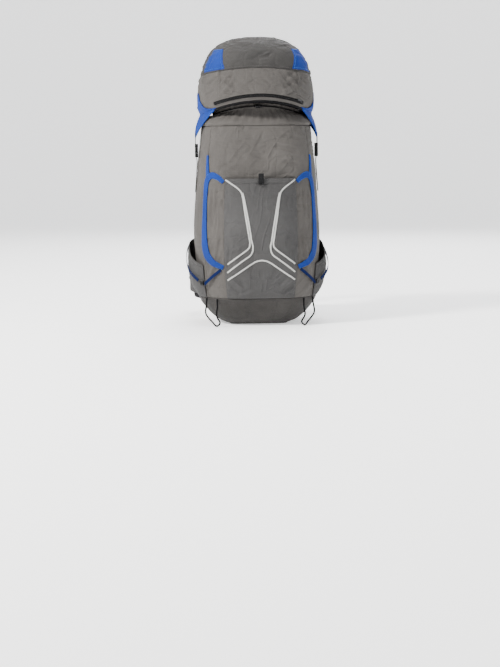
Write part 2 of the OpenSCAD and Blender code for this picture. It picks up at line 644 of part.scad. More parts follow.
function belt_point(a, off) = [(belt_a + off) * sin(a), belt_y - (belt_b + off) * cos(a), belt_z];
wing_from = 27;
wing_to = 148;
function wing_height(a) = wing_h * profile([[0, 0.86], [0.3, 1], [0.6, 0.92], [1, 0.55]], (a - wing_from) / (wing_to - wing_from), 1);
module hip_wing(side) {
    angles = steps(wing_from, wing_to, 22);
    function rows(off) = [for (a = angles) [for (k = [-1, -0.6, 0, 0.6, 1]) let (f = off * (1 - 0.45 * pow(abs(k), 3)))
        belt_point(a, f) + [0, 0, k * wing_height(a) / 2 + 6 * sin(1.5 * (a - wing_from))]]];
    color("#26282c") both(side) layer(rows(foam_t / 2 + 1), rows(-foam_t / 2));
}
hip_socket_x = 18;
hip_y = belt_y + belt_b + 6;
hip_z = belt_z + 3;
module hip_webbing() {
    rise = hip_z;
    outer = [for (a = [121 : 5 : 151]) let (p = belt_point(a, foam_t / 2 + 2.3)) [p.x, p.y, rise]];
    function end(x, lift) = [x, hip_y + lift, rise];
    color("#1b1c1f") {
        even_strap(smooth_path(concat(outer, [end(70, 3), end(60, 3.3), end(40, 3.3), end(21, 3.3)]), 24), [0, 0, 1], webbing_w, webbing_t);
        mirror([1, 0, 0]) even_strap(smooth_path(concat(outer, [end(66, 0), end(48, 0), end(29.3, 0)]), 24), [0, 0, 1], webbing_w, webbing_t);
    }
}
module hip_buckle_at() {
    translate([hip_socket_x, hip_y, hip_z]) rotate([0, 90, 0]) children();
}
module hip_buckle_socket() { hip_buckle_at() socket(36, 10, 47, 0.6); }
module hip_buckle_tongue() { hip_buckle_at() tongue(36, 10, hip_release - 2, [0.6, 0.6], webbing_w); }

// A zipped pocket lies on each wing, with a flat outer face for its straight zip.
hip_face = belt_a + foam_t / 2 + 12;
hip_zip_z = belt_z + 15;
hip_zip_half = 27;
module hip_pocket(side) {
    angles = steps(62, 118, 14);
    function bulge(a, k) = 1.5 + 17 * pow(max(cos((a - 90) * 3.2), 0), 0.5) * (1 - pow(abs(k), 4));
    function outer(a, k) = let (q = belt_point(a, foam_t / 2 + 1.4 + bulge(a, k))) [min(q.x, hip_face), q.y, q.z + 30 * k + 2];
    function inner(a, k) = belt_point(a, foam_t / 2 + 1.4) + [0, 0, 30 * k + 2];
    levels = [-1, -0.8, -0.4, 0, 0.2, 0.43, 0.66, 0.85, 1];
    color("#6b6864") both(side) layer([for (a = angles) [for (k = levels) outer(a, k)]],
        [for (a = angles) [for (k = levels) inner(a, k)]]);
    color("#17181a") both(side) translate([hip_face + 0.2, belt_y - hip_zip_half - 5, hip_zip_z - 2.5]) cube([1, 2 * hip_zip_half + 10, 5]);
}
module hip_zip_slider(side) {
    both(side) translate([hip_face + 1.5, belt_y - hip_zip_half + 4, hip_zip_z]) rotate([0, 90, 0]) scale(0.7) zip_slider();
}

// ---- lid ----

rim = -22;
lid_angles = [for (i = [0 : 31]) i * 11.25];
lid_levels = [86, 72, 58, 44, 32, 21, 11, 3, -6, -14, rim];
module lid_shell() {
    color("#85807b") bowl(
        [for (a = lid_angles) [for (e = lid_levels) lid_point(e, a, 0)]],
        [for (a = lid_angles) [for (e = lid_levels) lid_point(e, a, -fabric_t)]]);
}
module lid_underside() {
    function level(s, a, lift) = let (p = lid_point(rim, a, -fabric_t - 0.3))
        [p.x * s, p.y * s, lid_edge + 1 - lid_arch * pow(p.x * s / (lid_w / 2), 2) + lift];
    shares = [0.04, 0.25, 0.5, 0.75, 1];
    color("#4a4745") bowl([for (a = lid_angles) [for (s = shares) level(s, a, fabric_t)]],
        [for (a = lid_angles) [for (s = shares) level(s, a, 0)]]);
}
module lid_corner_patches() {
    color("#1268c8") for (side = [-1, 1]) both(side) layer(
        [for (a = steps(-62, -34, 5)) [for (e = steps(24, 46, 4)) lid_point(e, a, 1.6)]],
        [for (a = steps(-62, -34, 5)) [for (e = steps(24, 46, 4)) lid_point(e, a, 0.4)]]);
}

tip = [lid_buckle_x + 1.4, lid_buckle_y, socket_z + 29];
wing_spread = 34;
module lid_wing(side) {
    function band(k, t, off) =
        t < 0.5
        ? mix(tip + [off - 1.4, k * 9, 0], lid_point(rim + 2, wing_angle + wing_spread * k * (1 + 0.3 * t), off),
            t * 2) + [4 * sin(360 * t), 0, 0]
        : lid_point(mix(rim + 2, 4 - 22 * k * k, t * 2 - 1),
            wing_angle + wing_spread * k * (1.3 - 0.3 * 2 * t + 0.3 * (1 - t)), off);
    function rows(off) = [for (k = steps(-1, 1, 12)) [for (t = steps(0, 1, 12)) band(k, t, off)]];
    color("#1268c8") both(side) layer(rows(2.6), rows(1.2));
    color("#1b1c1f") both(side) even_strap([[lid_buckle_x + 2.5, lid_buckle_y, socket_z + 0.8],
        [lid_buckle_x + 2.5, lid_buckle_y, socket_z + 40]], [0, 1, 0], wing_w, webbing_t);
}

// The zip lies along the lid's front edge, close to a circle through its middle and its ends.
zip_rise = -12;
zip_spread = 44;
zip_mid = lid_point(zip_rise, 270, 1.4);
zip_end = lid_point(zip_rise, 270 + zip_spread, 1.4);
zip_drop = norm([zip_end.y - zip_mid.y, zip_end.z - zip_mid.z]);
zip_r = (zip_end.x * zip_end.x + zip_drop * zip_drop) / (2 * zip_drop);
zip_tilt = atan2(zip_mid.z - zip_end.z, zip_end.y - zip_mid.y);
zip_half = asin(zip_end.x / zip_r);
zip_start = 0.88;
module in_zip_plane() {
    translate(zip_mid) rotate([-zip_tilt, 0, 0]) translate([0, zip_r, 0]) children();
}
module lid_zipper() {
    angles = steps(270 - zip_spread, 270 + zip_spread, 22);
    levels = [zip_rise - 2, zip_rise, zip_rise + 2];
    color("#17181a") layer([for (a = angles) [for (e = levels) lid_point(e, a, 1.4)]],
        [for (a = angles) [for (e = levels) lid_point(e, a, 0.4)]]);
}
module lid_zip_slider() {
    in_zip_plane() rotate([0, 0, zip_half * zip_start]) translate([0, -zip_r - 2.95, 0]) rotate([90, 0, 0])
        rotate([0, 0, 90]) scale(0.8) zip_slider();
}
module lid_rear_straps() {
    color("#1b1c1f") for (side = [-1, 1]) both(side) translate([anchor_x, 0, 0]) {
        even_strap(smooth_path([
            [0, pivot.y, pivot.z + anchor_r + 0.9], [0, pivot.y, pivot.z + 60], [0, pivot.y - 2, lid_edge - 12],
            [0, lid_rear + 8, lid_edge - 2], [0, lid_rear - 1, lid_edge - 4]], 12), [1, 0, 0], wing_w, webbing_t);
        translate([-wing_w / 2, pivot.y, pivot.z]) rotate([0, 90, 0]) difference() {
            cylinder(r = anchor_loop, h = wing_w);
            translate([0, 0, -1]) cylinder(r = anchor_r + 0.3, h = wing_w + 2);
        }
    }
}

base_patch();
base_panel();
front_panel();
side_panel(-1);  // side_panel_left
side_panel(1);  // side_panel_right
rear_panel();
collar();
collar_drawcord();
collar_cord_lock();
front_pocket();
pocket_clip_socket();
pocket_clip_tongue();
side_pocket(-1);  // side_pocket_left
side_pocket(1);  // side_pocket_right
side_yoke(-1);  // side_yoke_left
side_yoke(1);  // side_yoke_right
compression_strap(-1);  // compression_strap_left
compression_strap(1);  // compression_strap_right
compression_buckle(-1);  // compression_buckle_left
compression_buckle(1);  // compression_buckle_right
lid_strap_anchors();
lid_anchor_strap(-1);  // lid_anchor_strap_left
lid_anchor_strap(1);  // lid_anchor_strap_right
lid_buckle_socket(-1);  // lid_buckle_socket_left
lid_buckle_socket(1);  // lid_buckle_socket_right
pad_strap(-1);  // pad_strap_left
pad_strap(1);  // pad_strap_right
haul_loop();
frame_rod();
crossbar(190);  // crossbar_lower
crossbar(500);  // crossbar_upper
back_mesh();
lumbar_pad();
harness_yoke();
shoulder_strap(-1);  // shoulder_strap_left
shoulder_strap(1);  // shoulder_strap_right
shoulder_webbing();
shoulder_ladderlocks();
load_lifters();
sternum_rails();
sternum_strap();
sternum_tongue();
hip_wing(-1);  // hip_wing_left
hip_wing(1);  // hip_wing_right
hip_webbing();
hip_buckle_socket();
hip_buckle_tongue();
hip_pocket(-1);  // hip_pocket_left
hip_pocket(1);  // hip_pocket_right
hip_zip_slider(-1);  // hip_zip_slider_left
hip_zip_slider(1);  // hip_zip_slider_right
lid_shell();
lid_underside();
lid_corner_patches();
lid_wing(-1);  // lid_wing_left
lid_wing(1);  // lid_wing_right
lid_zipper();
lid_zip_slider();
lid_rear_straps();
lid_buckle_tongue(-1);  // lid_buckle_tongue_left
lid_buckle_tongue(1);  // lid_buckle_tongue_right
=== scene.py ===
import bpy, math
import numpy as np
from mathutils import Matrix, Vector


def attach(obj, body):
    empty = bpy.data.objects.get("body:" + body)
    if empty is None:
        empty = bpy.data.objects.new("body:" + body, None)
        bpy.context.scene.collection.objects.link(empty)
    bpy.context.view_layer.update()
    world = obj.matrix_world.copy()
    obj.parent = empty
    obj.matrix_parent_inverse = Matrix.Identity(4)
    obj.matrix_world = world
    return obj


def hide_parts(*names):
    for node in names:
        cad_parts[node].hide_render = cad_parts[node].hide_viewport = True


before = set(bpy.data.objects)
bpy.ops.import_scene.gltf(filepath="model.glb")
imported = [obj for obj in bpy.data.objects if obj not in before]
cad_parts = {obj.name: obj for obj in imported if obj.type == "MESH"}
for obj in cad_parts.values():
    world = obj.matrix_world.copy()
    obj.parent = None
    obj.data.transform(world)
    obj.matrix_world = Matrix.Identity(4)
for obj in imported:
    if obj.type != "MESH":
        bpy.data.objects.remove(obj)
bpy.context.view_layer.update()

# ------------------------------------------------------------------ camera
CAM = dict(yaw=4.0, pitch=7.0, roll=0.55, dist=4.37, height=0.50, side=-7.5)


def make_camera():
    yaw, pitch, roll = (math.radians(CAM[k]) for k in ("yaw", "pitch", "roll"))
    turn = yaw + math.atan(CAM["side"] / 1557)
    f = Vector((math.sin(turn) * math.cos(pitch), math.cos(turn) * math.cos(pitch), -math.sin(pitch)))
    r = Vector((math.cos(turn), -math.sin(turn), 0))
    u = r.cross(f)
    rot = Matrix.Rotation(roll, 3, f)
    r, u = rot @ r, rot @ u
    m = Matrix.Identity(4)
    for k in range(3):
        m[k][0], m[k][1], m[k][2] = r[k], u[k], -f[k]
    m.translation = Vector((-math.sin(yaw) * CAM["dist"], -math.cos(yaw) * CAM["dist"], CAM["height"]))
    m.translation = (-math.sin(yaw) * CAM["dist"], -math.cos(yaw) * CAM["dist"], CAM["height"])
    data = bpy.data.cameras.new("camera")
    data.sensor_fit = "HORIZONTAL"
    data.sensor_width = 36
    data.lens = 36 * 1557 / 500
    data.clip_end = 60
    cam = bpy.data.objects.new("camera", data)
    bpy.context.scene.collection.objects.link(cam)
    cam.matrix_world = m
    bpy.context.scene.camera = cam


make_camera()

# ------------------------------------------------------------------ shape functions, in millimetres
BAG_H, BAG_W, BAG_FRONT, BAG_REAR, BASE_H = 545.0, 352.0, 182.0, 88.0, 78.0
VENT, FRAME_W = 30.0, 244.0
LID_W, LID_FRONT, LID_REAR, LID_EDGE, LID_H, LID_ARCH = 320.0, 182.0, 78.0, 607.0, 181.0, 36.0
LID_MID = LID_EDGE + 43
SEAM, REAR_SEAM, POCKET_SEAM, POCKET_TOP, POCKET_GAP, SIDE_GAP = 39.0, 40.0, 59.0, 404.0, 15.0, 20.0
FOAM, WEB_T = 9.0, 1.6
FRAME_Y = 91.4
MESH_Y = 94.7
BACK_Y = 96.2
BELT_A, BELT_B, BELT_Z, BELT_Y, WING_H = 166.0, 116.0, 92.0, 216.7, 96.0
PIVOT = (0.0, 100.2, 490.0)
CHEST_Y = BACK_Y + 196
PROFILE = np.array([
    [0.000, 0.50, 0.46, 0.90], [0.020, 0.63, 0.62, 0.94], [0.060, 0.77, 0.75, 0.97], [0.110, 0.90, 0.85, 1.00],
    [0.150, 0.94, 0.91, 1.00], [0.290, 0.98, 0.98, 1.00], [0.450, 1.00, 1.00, 1.00], [0.640, 0.97, 0.98, 1.00],
    [0.800, 0.93, 0.93, 1.00], [0.920, 0.885, 0.87, 0.98], [1.000, 0.86, 0.82, 0.95]])


def profile(t, s, c):
    s = np.clip(np.asarray(s, float), 0, 1)
    n = len(t) - 1
    i = np.clip(np.searchsorted(t[:, 0], s, side="right") - 1, 0, n - 1)
    b, a = np.maximum(i - 1, 0), np.minimum(i + 2, n)
    p0, p1 = t[i, c], t[i + 1, c]
    d = t[i + 1, 0] - t[i, 0]
    u = np.clip((s - t[i, 0]) / d, 0, 1)
    m = (p1 - t[b, c]) / (t[i + 1, 0] - t[b, 0]) * d
    k = (t[a, c] - p0) / (t[a, 0] - t[i, 0]) * d
    return (2 * u**3 - 3 * u**2 + 1) * p0 + (u**3 - 2 * u**2 + u) * m + (3 * u**2 - 2 * u**3) * p1 + (u**3 - u**2) * k


def stack(x, y, z):
    x, y, z = np.broadcast_arrays(np.asarray(x, float), np.asarray(y, float), np.asarray(z, float))
    return np.stack([x, y, z], -1)


def bag(z, a, off=0.0):
    z, a, off = np.broadcast_arrays(np.asarray(z, float), np.asarray(a, float), np.asarray(off, float))
    s, r = z / BAG_H, np.radians(a)
    rear = np.sin(r) > 0
    w = BAG_W / 2 * profile(PROFILE, s, 1) + off
    d = np.where(rear, BAG_REAR * profile(PROFILE, s, 3), BAG_FRONT * profile(PROFILE, s, 2)) + off
    n = np.where(rear, 4.5, 2.7)
    rad = ((np.abs(np.cos(r)) / w) ** n + (np.abs(np.sin(r)) / d) ** n) ** (-1 / n)
    x = rad * np.cos(r)
    v = VENT * np.clip((z - BASE_H) / 120, 0, 1) * np.clip((BAG_H - z) / 120, 0, 1) * np.maximum(0, 1 - (x / (0.42 * FRAME_W)) ** 2)
    return stack(x, rad * np.sin(r) - np.where(rear, v, 0), z)


def lid(e, a, off=0.0):
    e, a, off = np.broadcast_arrays(np.asarray(e, float), np.asarray(a, float), np.asarray(off, float))
    er, r = np.radians(e), np.radians(a)
    c = np.maximum(np.cos(er), 0) ** 0.84
    h = np.sign(er) * np.abs(np.sin(er)) ** 0.84
    front = np.sin(r) < 0
    w = LID_W / 2 * c + off
    d = np.where(front, LID_FRONT * c, LID_REAR * c) + off
    n = np.where(front, 2.2, 3.0)
    rad = ((np.abs(np.cos(r)) / w) ** n + (np.abs(np.sin(r)) / d) ** n) ** (-1 / n)
    x = rad * np.cos(r)
    z = LID_MID + np.where(e < 0, 97 * h, (LID_H - 43) * h) + np.where(e > 0, off * h, 0)
    z = z - LID_ARCH * (x / (LID_W / 2)) ** 2 * (1 - np.maximum(h, 0)) ** 2
    return stack(x, rad * np.sin(r), z)


def hashed(i, j, k, seed):
    n = (i * 73856093) ^ (j * 19349663) ^ (k * 83492791) ^ (seed * 2654435)
    n = (n ^ (n >> 13)) * 1274126177
    return ((n ^ (n >> 16)) & 0xFFFF) / 32767.5 - 1


def noise(p, scale, seed=0):
    q = np.asarray(p, float) / np.asarray(scale, float) + 1000
    i = np.floor(q).astype(np.int64)
    f = q - i
    f = f * f * f * (f * (f * 6 - 15) + 10)
    out = 0
    for dx in (0, 1):
        for dy in (0, 1):
            for dz in (0, 1):
                w = (f[..., 0] if dx else 1 - f[..., 0]) * (f[..., 1] if dy else 1 - f[..., 1]) * (f[..., 2] if dz else 1 - f[..., 2])
                out = out + w * hashed(i[..., 0] + dx, i[..., 1] + dy, i[..., 2] + dz, seed)
    return out


def crease(p, scale, width, seed):
    """Narrow valleys along the zero lines of a noise."""
    n = noise(p, scale, seed) + 0.35 * noise(p, np.asarray(scale) / 2.3, seed + 7)
    return -np.clip(1 - np.abs(n) / width, 0, 1) ** 1.6


def bump(d, w):
    return np.exp(-(d / w) ** 2)


def fold_line(p, a, b, width, depth, flip=1):
    """A soft fold in the front view from a to b (x, z): a valley with a lip on one side."""
    a, b = np.array(a, float), np.array(b, float)
    q = np.stack([p[..., 0], p[..., 2]], -1) - a
    v = b - a
    length = np.linalg.norm(v)
    t = (q @ v) / length**2
    n = np.array([-v[1], v[0]]) / length
    d = q @ n * flip
    ends = np.clip(t / 0.25, 0, 1) * np.clip((1 - t) / 0.35, 0, 1)
    ends = ends * ends * (3 - 2 * ends)
    return depth * ends * (-bump(d, width) + 0.75 * bump(d - width * 1.7, width * 1.15))


def mirrored_folds(p, rows):
    out = 0
    for a, b, w, d in rows:
        out = out + fold_line(p, a, b, w, d)
        out = out + fold_line(p, (-a[0], a[1]), (-b[0], b[1]), w, d, -1)
    return out


def folds(p, angle, across, along, seed, sharp=0.55):
    """Ridges that run along one direction of the front view, in loose groups."""
    t = math.radians(angle)
    warp = 9 * noise(p, (60, 60, 60), seed + 3)
    u = p[..., 0] * math.sin(t) - p[..., 2] * math.cos(t) + warp
    v = p[..., 0] * math.cos(t) + p[..., 2] * math.sin(t)
    n = noise(stack(u, p[..., 1] * 0.4, v), (across, 90, along), seed)
    ridge = np.clip(1 - np.abs(n) / sharp, 0, 1) ** 1.5
    group = np.clip(noise(p, (across * 5, 120, across * 5), seed + 9) * 1.6 + 0.35, 0, 1)
    return (ridge - 0.35) * group


def near_line(p, x, z, rx, rz):
    """One inside an oval of the front view, fading out at its edge."""
    return np.exp(-((np.abs(p[..., 0]) - x) / rx) ** 2 - ((p[..., 2] - z) / rz) ** 2)


def body_disp(p):
    front = np.clip(-p[..., 1] / 60, 0, 1)
    d = 2.6 * noise(p, (95, 95, 130), 3) + 1.1 * noise(p, (34, 40, 46), 5)
    d = d + 1.5 * crease(p, (60, 70, 44), 0.30, 11) + 0.9 * crease(p, (30, 34, 60), 0.22, 17)
    d = d + front * mirrored_folds(p, [((112, 388), (122, 300), 4, 2.6), ((128, 380), (133, 250), 4, 2.2), ((108, 260), (125, 150), 4, 2.4),
                                       ((104, 200), (140, 120), 4.5, 2.6)])
    d = d + front * (fold_line(p, (30, 492), (118, 470), 6, 3.4) + fold_line(p, (48, 520), (128, 505), 5, 2.6)
                     + fold_line(p, (-120, 500), (-40, 480), 6, 2.6) + fold_line(p, (60, 452), (120, 430), 5, 2.4)
                     + fold_line(p, (-60, 452), (-128, 424), 5, 2.2) + fold_line(p, (-30, 470), (28, 455), 6, 1.8))
    right = np.clip(p[..., 0] / 60, 0, 1)
    d = d + front * 5.2 * folds(p, 24, 11, 75, 211) * np.exp(-((p[..., 2] - 490) / 42) ** 2) * (0.35 + 0.65 * right)
    d = d + front * 3.8 * folds(p, 84, 10, 110, 215) * near_line(p, 122, 285, 26, 110)
    d = d + front * 2.2 * folds(p, 50, 14, 80, 219)
    d = d + front * 3.6 * folds(p, 76, 9, 60, 223) * np.exp(-((p[..., 2] - 545) / 26) ** 2)
    return np.clip(d, -6.0, 5.0)


# ------------------------------------------------------------------ mesh building
def link(name, verts, faces, mat, uv=None, smooth=True, face_mats=None, mats=None):
    me = bpy.data.meshes.new(name)
    me.from_pydata([tuple(v) for v in np.asarray(verts) / 1000.0], [], faces)
    for m in (mats or [mat]):
        me.materials.append(m)
    if face_mats is not None:
        me.polygons.foreach_set("material_index", np.asarray(face_mats, dtype=np.int32))
    if uv is not None:
        layer = me.uv_layers.new(name="cloth")
        loops = np.empty(len(me.loops), dtype=np.int64)
        me.loops.foreach_get("vertex_index", loops)
        layer.data.foreach_set("uv", np.asarray(uv)[loops].astype(np.float32).ravel())
    if smooth:
        me.polygons.foreach_set("use_smooth", np.ones(len(me.polygons), dtype=bool))
    me.update()
    o = bpy.data.objects.new(name, me)
    bpy.context.scene.collection.objects.link(o)
    return o


def grid_normals(p, wrap=False):
    if wrap:
        du = np.roll(p, -1, 0) - np.roll(p, 1, 0)
    else:
        du = np.gradient(p, axis=0)
    dv = np.gradient(p, axis=1)
    n = np.cross(du, dv)
    ln = np.linalg.norm(n, axis=-1, keepdims=True)
    return n / np.maximum(ln, 1e-9)


def grid_uv(p, wrap=False):
    du = np.linalg.norm(np.diff(p, axis=0), axis=-1).mean(axis=1)
    dv = np.linalg.norm(np.diff(p, axis=1), axis=-1).mean(axis=0)
    u = np.concatenate([[0], np.cumsum(du)])
    v = np.concatenate([[0], np.cumsum(dv)])
    return np.stack(np.meshgrid(u, v, indexing="ij"), -1) / 1000.0


def cloth(name, p, mat, thick=1.4, wrap=False, flip=False, cap=None, edge=None):
    """A closed cloth shell from a grid of its outer surface; edge is not used."""
    n = grid_normals(p, wrap) * (-1 if flip else 1)
    inner = p - n * thick
    a, b = p.shape[0], p.shape[1]
    uv = grid_uv(p, wrap)
    verts = np.concatenate([p.reshape(-1, 3), inner.reshape(-1, 3)])
    uvs = np.concatenate([uv.reshape(-1, 2)] * 2)
    idx = np.arange(a * b).reshape(a, b)
    last = a if wrap else a - 1
    i0 = np.arange(last)
    i1 = (i0 + 1) % a
    j0 = np.arange(b - 1)
    A, B = np.meshgrid(i0, j0, indexing="ij")
    C, D = np.meshgrid(i1, j0, indexing="ij")
    q = np.stack([idx[A, B], idx[C, D], idx[C, D + 1], idx[A, B + 1]], -1).reshape(-1, 4)
    off = a * b
    if flip:
        q = q[:, ::-1]
    faces = q.tolist() + (q[:, ::-1] + off).tolist()

    def rim(seq, rev):
        for s, t in zip(seq[:-1], seq[1:]):
            f = [s, t, t + off, s + off]
            faces.append(f[::-1] if rev else f)
    row = lambda j: ([int(v) for v in idx[:, j]] + ([int(idx[0, j])] if wrap else []))
    if cap == 0:
        faces.append(row(0)[:-1][::-1] if not flip else row(0)[:-1])
        faces.append([v + off for v in (row(0)[:-1] if not flip else row(0)[:-1][::-1])])
    else:
        rim(row(0), not flip)
    rim(row(b - 1), flip)
    if not wrap:
        rim([int(v) for v in idx[0]], flip)
        rim([int(v) for v in idx[-1]], not flip)
    return link(name, verts, faces, mat, uvs)


def spline(p, n, closed=False):
    p = np.asarray(p, float)
    m = len(p) - 1
    s = np.linspace(0, m, n + 1)
    k = np.minimum(np.floor(s).astype(int), m - 1)
    u = (s - k)[:, None] if p.ndim > 1 else s - k
    a, b, c, d = p[np.maximum(k - 1, 0)], p[k], p[k + 1], p[np.minimum(k + 2, m)]
    return 0.5 * (2 * b + (c - a) * u + (2 * a - 5 * b + 4 * c - d) * u**2 + (3 * b - a - 3 * c + d) * u**3)


def unit(v):
    return v / np.maximum(np.linalg.norm(v, axis=-1, keepdims=True), 1e-9)


def flip_x(p):
    return np.asarray(p, float) * np.array([-1, 1, 1])


def resample(path, step):
    seg = np.linalg.norm(np.diff(path, axis=0), axis=1)
    s = np.concatenate([[0], np.cumsum(seg)])
    n = max(int(round(s[-1] / step)), 2)
    t = np.linspace(0, s[-1], n + 1)
    return np.stack([np.interp(t, s, path[:, k]) for k in range(path.shape[1])], -1)


SECTION = {
    "web": ([-1, -0.97, -0.88, -0.8, -0.4, 0, 0.4, 0.8, 0.88, 0.97, 1], [0.15, 0.85, 1, 0.86, 1, 0.95, 1, 0.86, 1, 0.85, 0.15]),
    "tape": ([-1, -0.9, -0.5, 0, 0.5, 0.9, 1], [0.2, 0.9, 1, 1, 1, 0.9, 0.2]),
}


def ribbon(name, path, side, width, mat, thick=WEB_T, kind="web", step=3.0, lift=None):
    """Webbing along a path: side is the direction of its width, one for all or one each."""
    path = np.asarray(path, float)
    side = np.broadcast_to(np.asarray(side, float), path.shape)
    width = np.broadcast_to(np.asarray(width, float), (len(path),))
    whole = resample(np.concatenate([path, side, width[:, None]], 1), step)
    p, sd, w = whole[:, :3], whole[:, 3:6], whole[:, 6]
    t = unit(np.gradient(p, axis=0))
    sd = unit(sd - t * np.sum(sd * t, -1, keepdims=True))
    n = np.cross(t, sd)
    ks, hs = (np.array(v) for v in SECTION[kind])
    ks, hs = np.concatenate([ks, ks[::-1]]), np.concatenate([hs, -hs[::-1]])
    ring = p[:, None, :] + sd[:, None, :] * (ks[None, :, None] * w[:, None, None] / 2) + n[:, None, :] * (hs[None, :, None] * thick / 2)
    a, b = ring.shape[:2]
    idx = np.arange(a * b).reshape(a, b)
    faces = []
    for j in range(b):
        k = (j + 1) % b
        faces += np.stack([idx[:-1, j], idx[1:, j], idx[1:, k], idx[:-1, k]], -1).tolist()
    faces.append([int(v) for v in idx[0]])
    faces.append([int(v) for v in idx[-1][::-1]])
    s = np.concatenate([[0], np.cumsum(np.linalg.norm(np.diff(p, axis=0), axis=1))]) / 1000
    across = ks[None, :] * w[:, None] / 2000
    uv = np.stack([np.broadcast_to(s[:, None], across.shape), across], -1)
    return link(name, ring.reshape(-1, 3), faces, mat, uv.reshape(-1, 2))


def tube(name, path, d, mat, closed=False, step=2.5, sides=10):
    path = np.asarray(path, float)
    if closed:
        path = np.concatenate([path, path[:1]])
    p = resample(path, step)
    if closed:
        p = p[:-1]
        t = unit(np.roll(p, -1, 0) - np.roll(p, 1, 0))
    else:
        t = unit(np.gradient(p, axis=0))
    ref = np.array([0, 0, 1.0]) if abs(t[:, 2]).max() < 0.95 else np.array([1.0, 0.2, 0.1])
    s = unit(np.cross(t, ref))
    u = np.cross(s, t)
    ang = np.linspace(0, 2 * math.pi, sides, endpoint=False)
    ring = p[:, None] + (d / 2) * (np.cos(ang)[None, :, None] * s[:, None] + np.sin(ang)[None, :, None] * u[:, None])
    a = len(p)
    idx = np.arange(a * sides).reshape(a, sides)
    nxt = np.roll(idx, -1, 0) if closed else idx[1:]
    cur = idx if closed else idx[:-1]
    faces = []
    for j in range(sides):
        k = (j + 1) % sides
        faces += np.stack([cur[:, j], cur[:, k], nxt[:, k], nxt[:, j]], -1).tolist()
    if not closed:
        faces.append([int(v) for v in idx[0][::-1]])
        faces.append([int(v) for v in idx[-1]])
    length = np.concatenate([[0], np.cumsum(np.linalg.norm(np.diff(p, axis=0), axis=1))]) / 1000
    uv = np.stack([np.broadcast_to(length[:, None], (a, sides)), np.broadcast_to(ang[None] * d / 2000, (a, sides))], -1)
    return link(name, ring.reshape(-1, 3), faces, mat, uv.reshape(-1, 2))


def stitches(name, lines, mat, length=2.6, gap=1.6, d=0.55, lift=0.25):
    """Small thread stitches along lines of points with normals: each line is (points, normals)."""
    V, F = [], []
    for pts, nrm in lines:
        whole = resample(np.concatenate([pts, nrm], 1), 0.8)
        p, n = whole[:, :3], unit(whole[:, 3:])
        s = np.concatenate([[0], np.cumsum(np.linalg.norm(np.diff(p, axis=0), axis=1))])
        at = np.arange(gap, s[-1] - length, length + gap)
        for s0 in at:
            q = np.stack([np.interp([s0, s0 + length / 2, s0 + length], s, p[:, k]) for k in range(3)], -1)
            m = unit(np.stack([np.interp([s0 + length / 2], s, n[:, k]) for k in range(3)], -1))[0]
            t = unit(q[2] - q[0])
            w = np.cross(m, t)
            base = len(V)
            for k, h in ((0, -0.3), (1, 0.75), (2, -0.3)):
                for c in (-1, 1):
                    V.append(q[k] + w * c * d / 2 + m * (lift * 0 + h * d))
            V.append(q[1] + m * d * 1.1)
            a = base
            F += [[a, a + 1, a + 3, a + 6], [a, a + 6, a + 2], [a + 2, a + 6, a + 4], [a + 6, a + 3, a + 5], [a + 4, a + 6, a + 5],
                  [a + 1, a, a + 2, a + 3], [a + 3, a + 2, a + 4, a + 5]]
    return link(name, np.array(V), F, mat, smooth=True)


# ------------------------------------------------------------------ materials
def node_mat(name):
    m = bpy.data.materials.new(name)
    m.use_nodes = True
    nt = m.node_tree
    for n in list(nt.nodes):
        if n.type != "BSDF_PRINCIPLED" and n.type != "OUTPUT_MATERIAL":
            nt.nodes.remove(n)
    return m, nt, nt.nodes["Principled BSDF"]


def add(nt, kind, **values):
    n = nt.nodes.new(kind)
    for k, v in values.items():
        if k.startswith("in_"):
            n.inputs[k[3:].replace("_", " ")].default_value = v
        else:
            setattr(n, k, v)
    return n


def math_node(nt, op, a, b=None, clamp=False):
    n = nt.nodes.new("ShaderNodeMath")
    n.operation = op
    n.use_clamp = clamp
    for k, v in enumerate((a, b)):
        if v is None:
            continue
        if isinstance(v, (int, float)):
            n.inputs[k].default_value = v
        else:
            nt.links.new(v, n.inputs[k])
    return n.outputs[0]


def mix_color(nt, fac, a, b, mode="MIX"):
    n = nt.nodes.new("ShaderNodeMix")
    n.data_type = "RGBA"
    n.blend_type = mode
    for sock, v in ((n.inputs[0], fac), (n.inputs[6], a), (n.inputs[7], b)):
        if isinstance(v, (int, float)):
            sock.default_value = v
        elif isinstance(v, tuple):
            sock.default_value = v if len(v) == 4 else (*v, 1)
        else:
            nt.links.new(v, sock)
    return n.outputs[2]


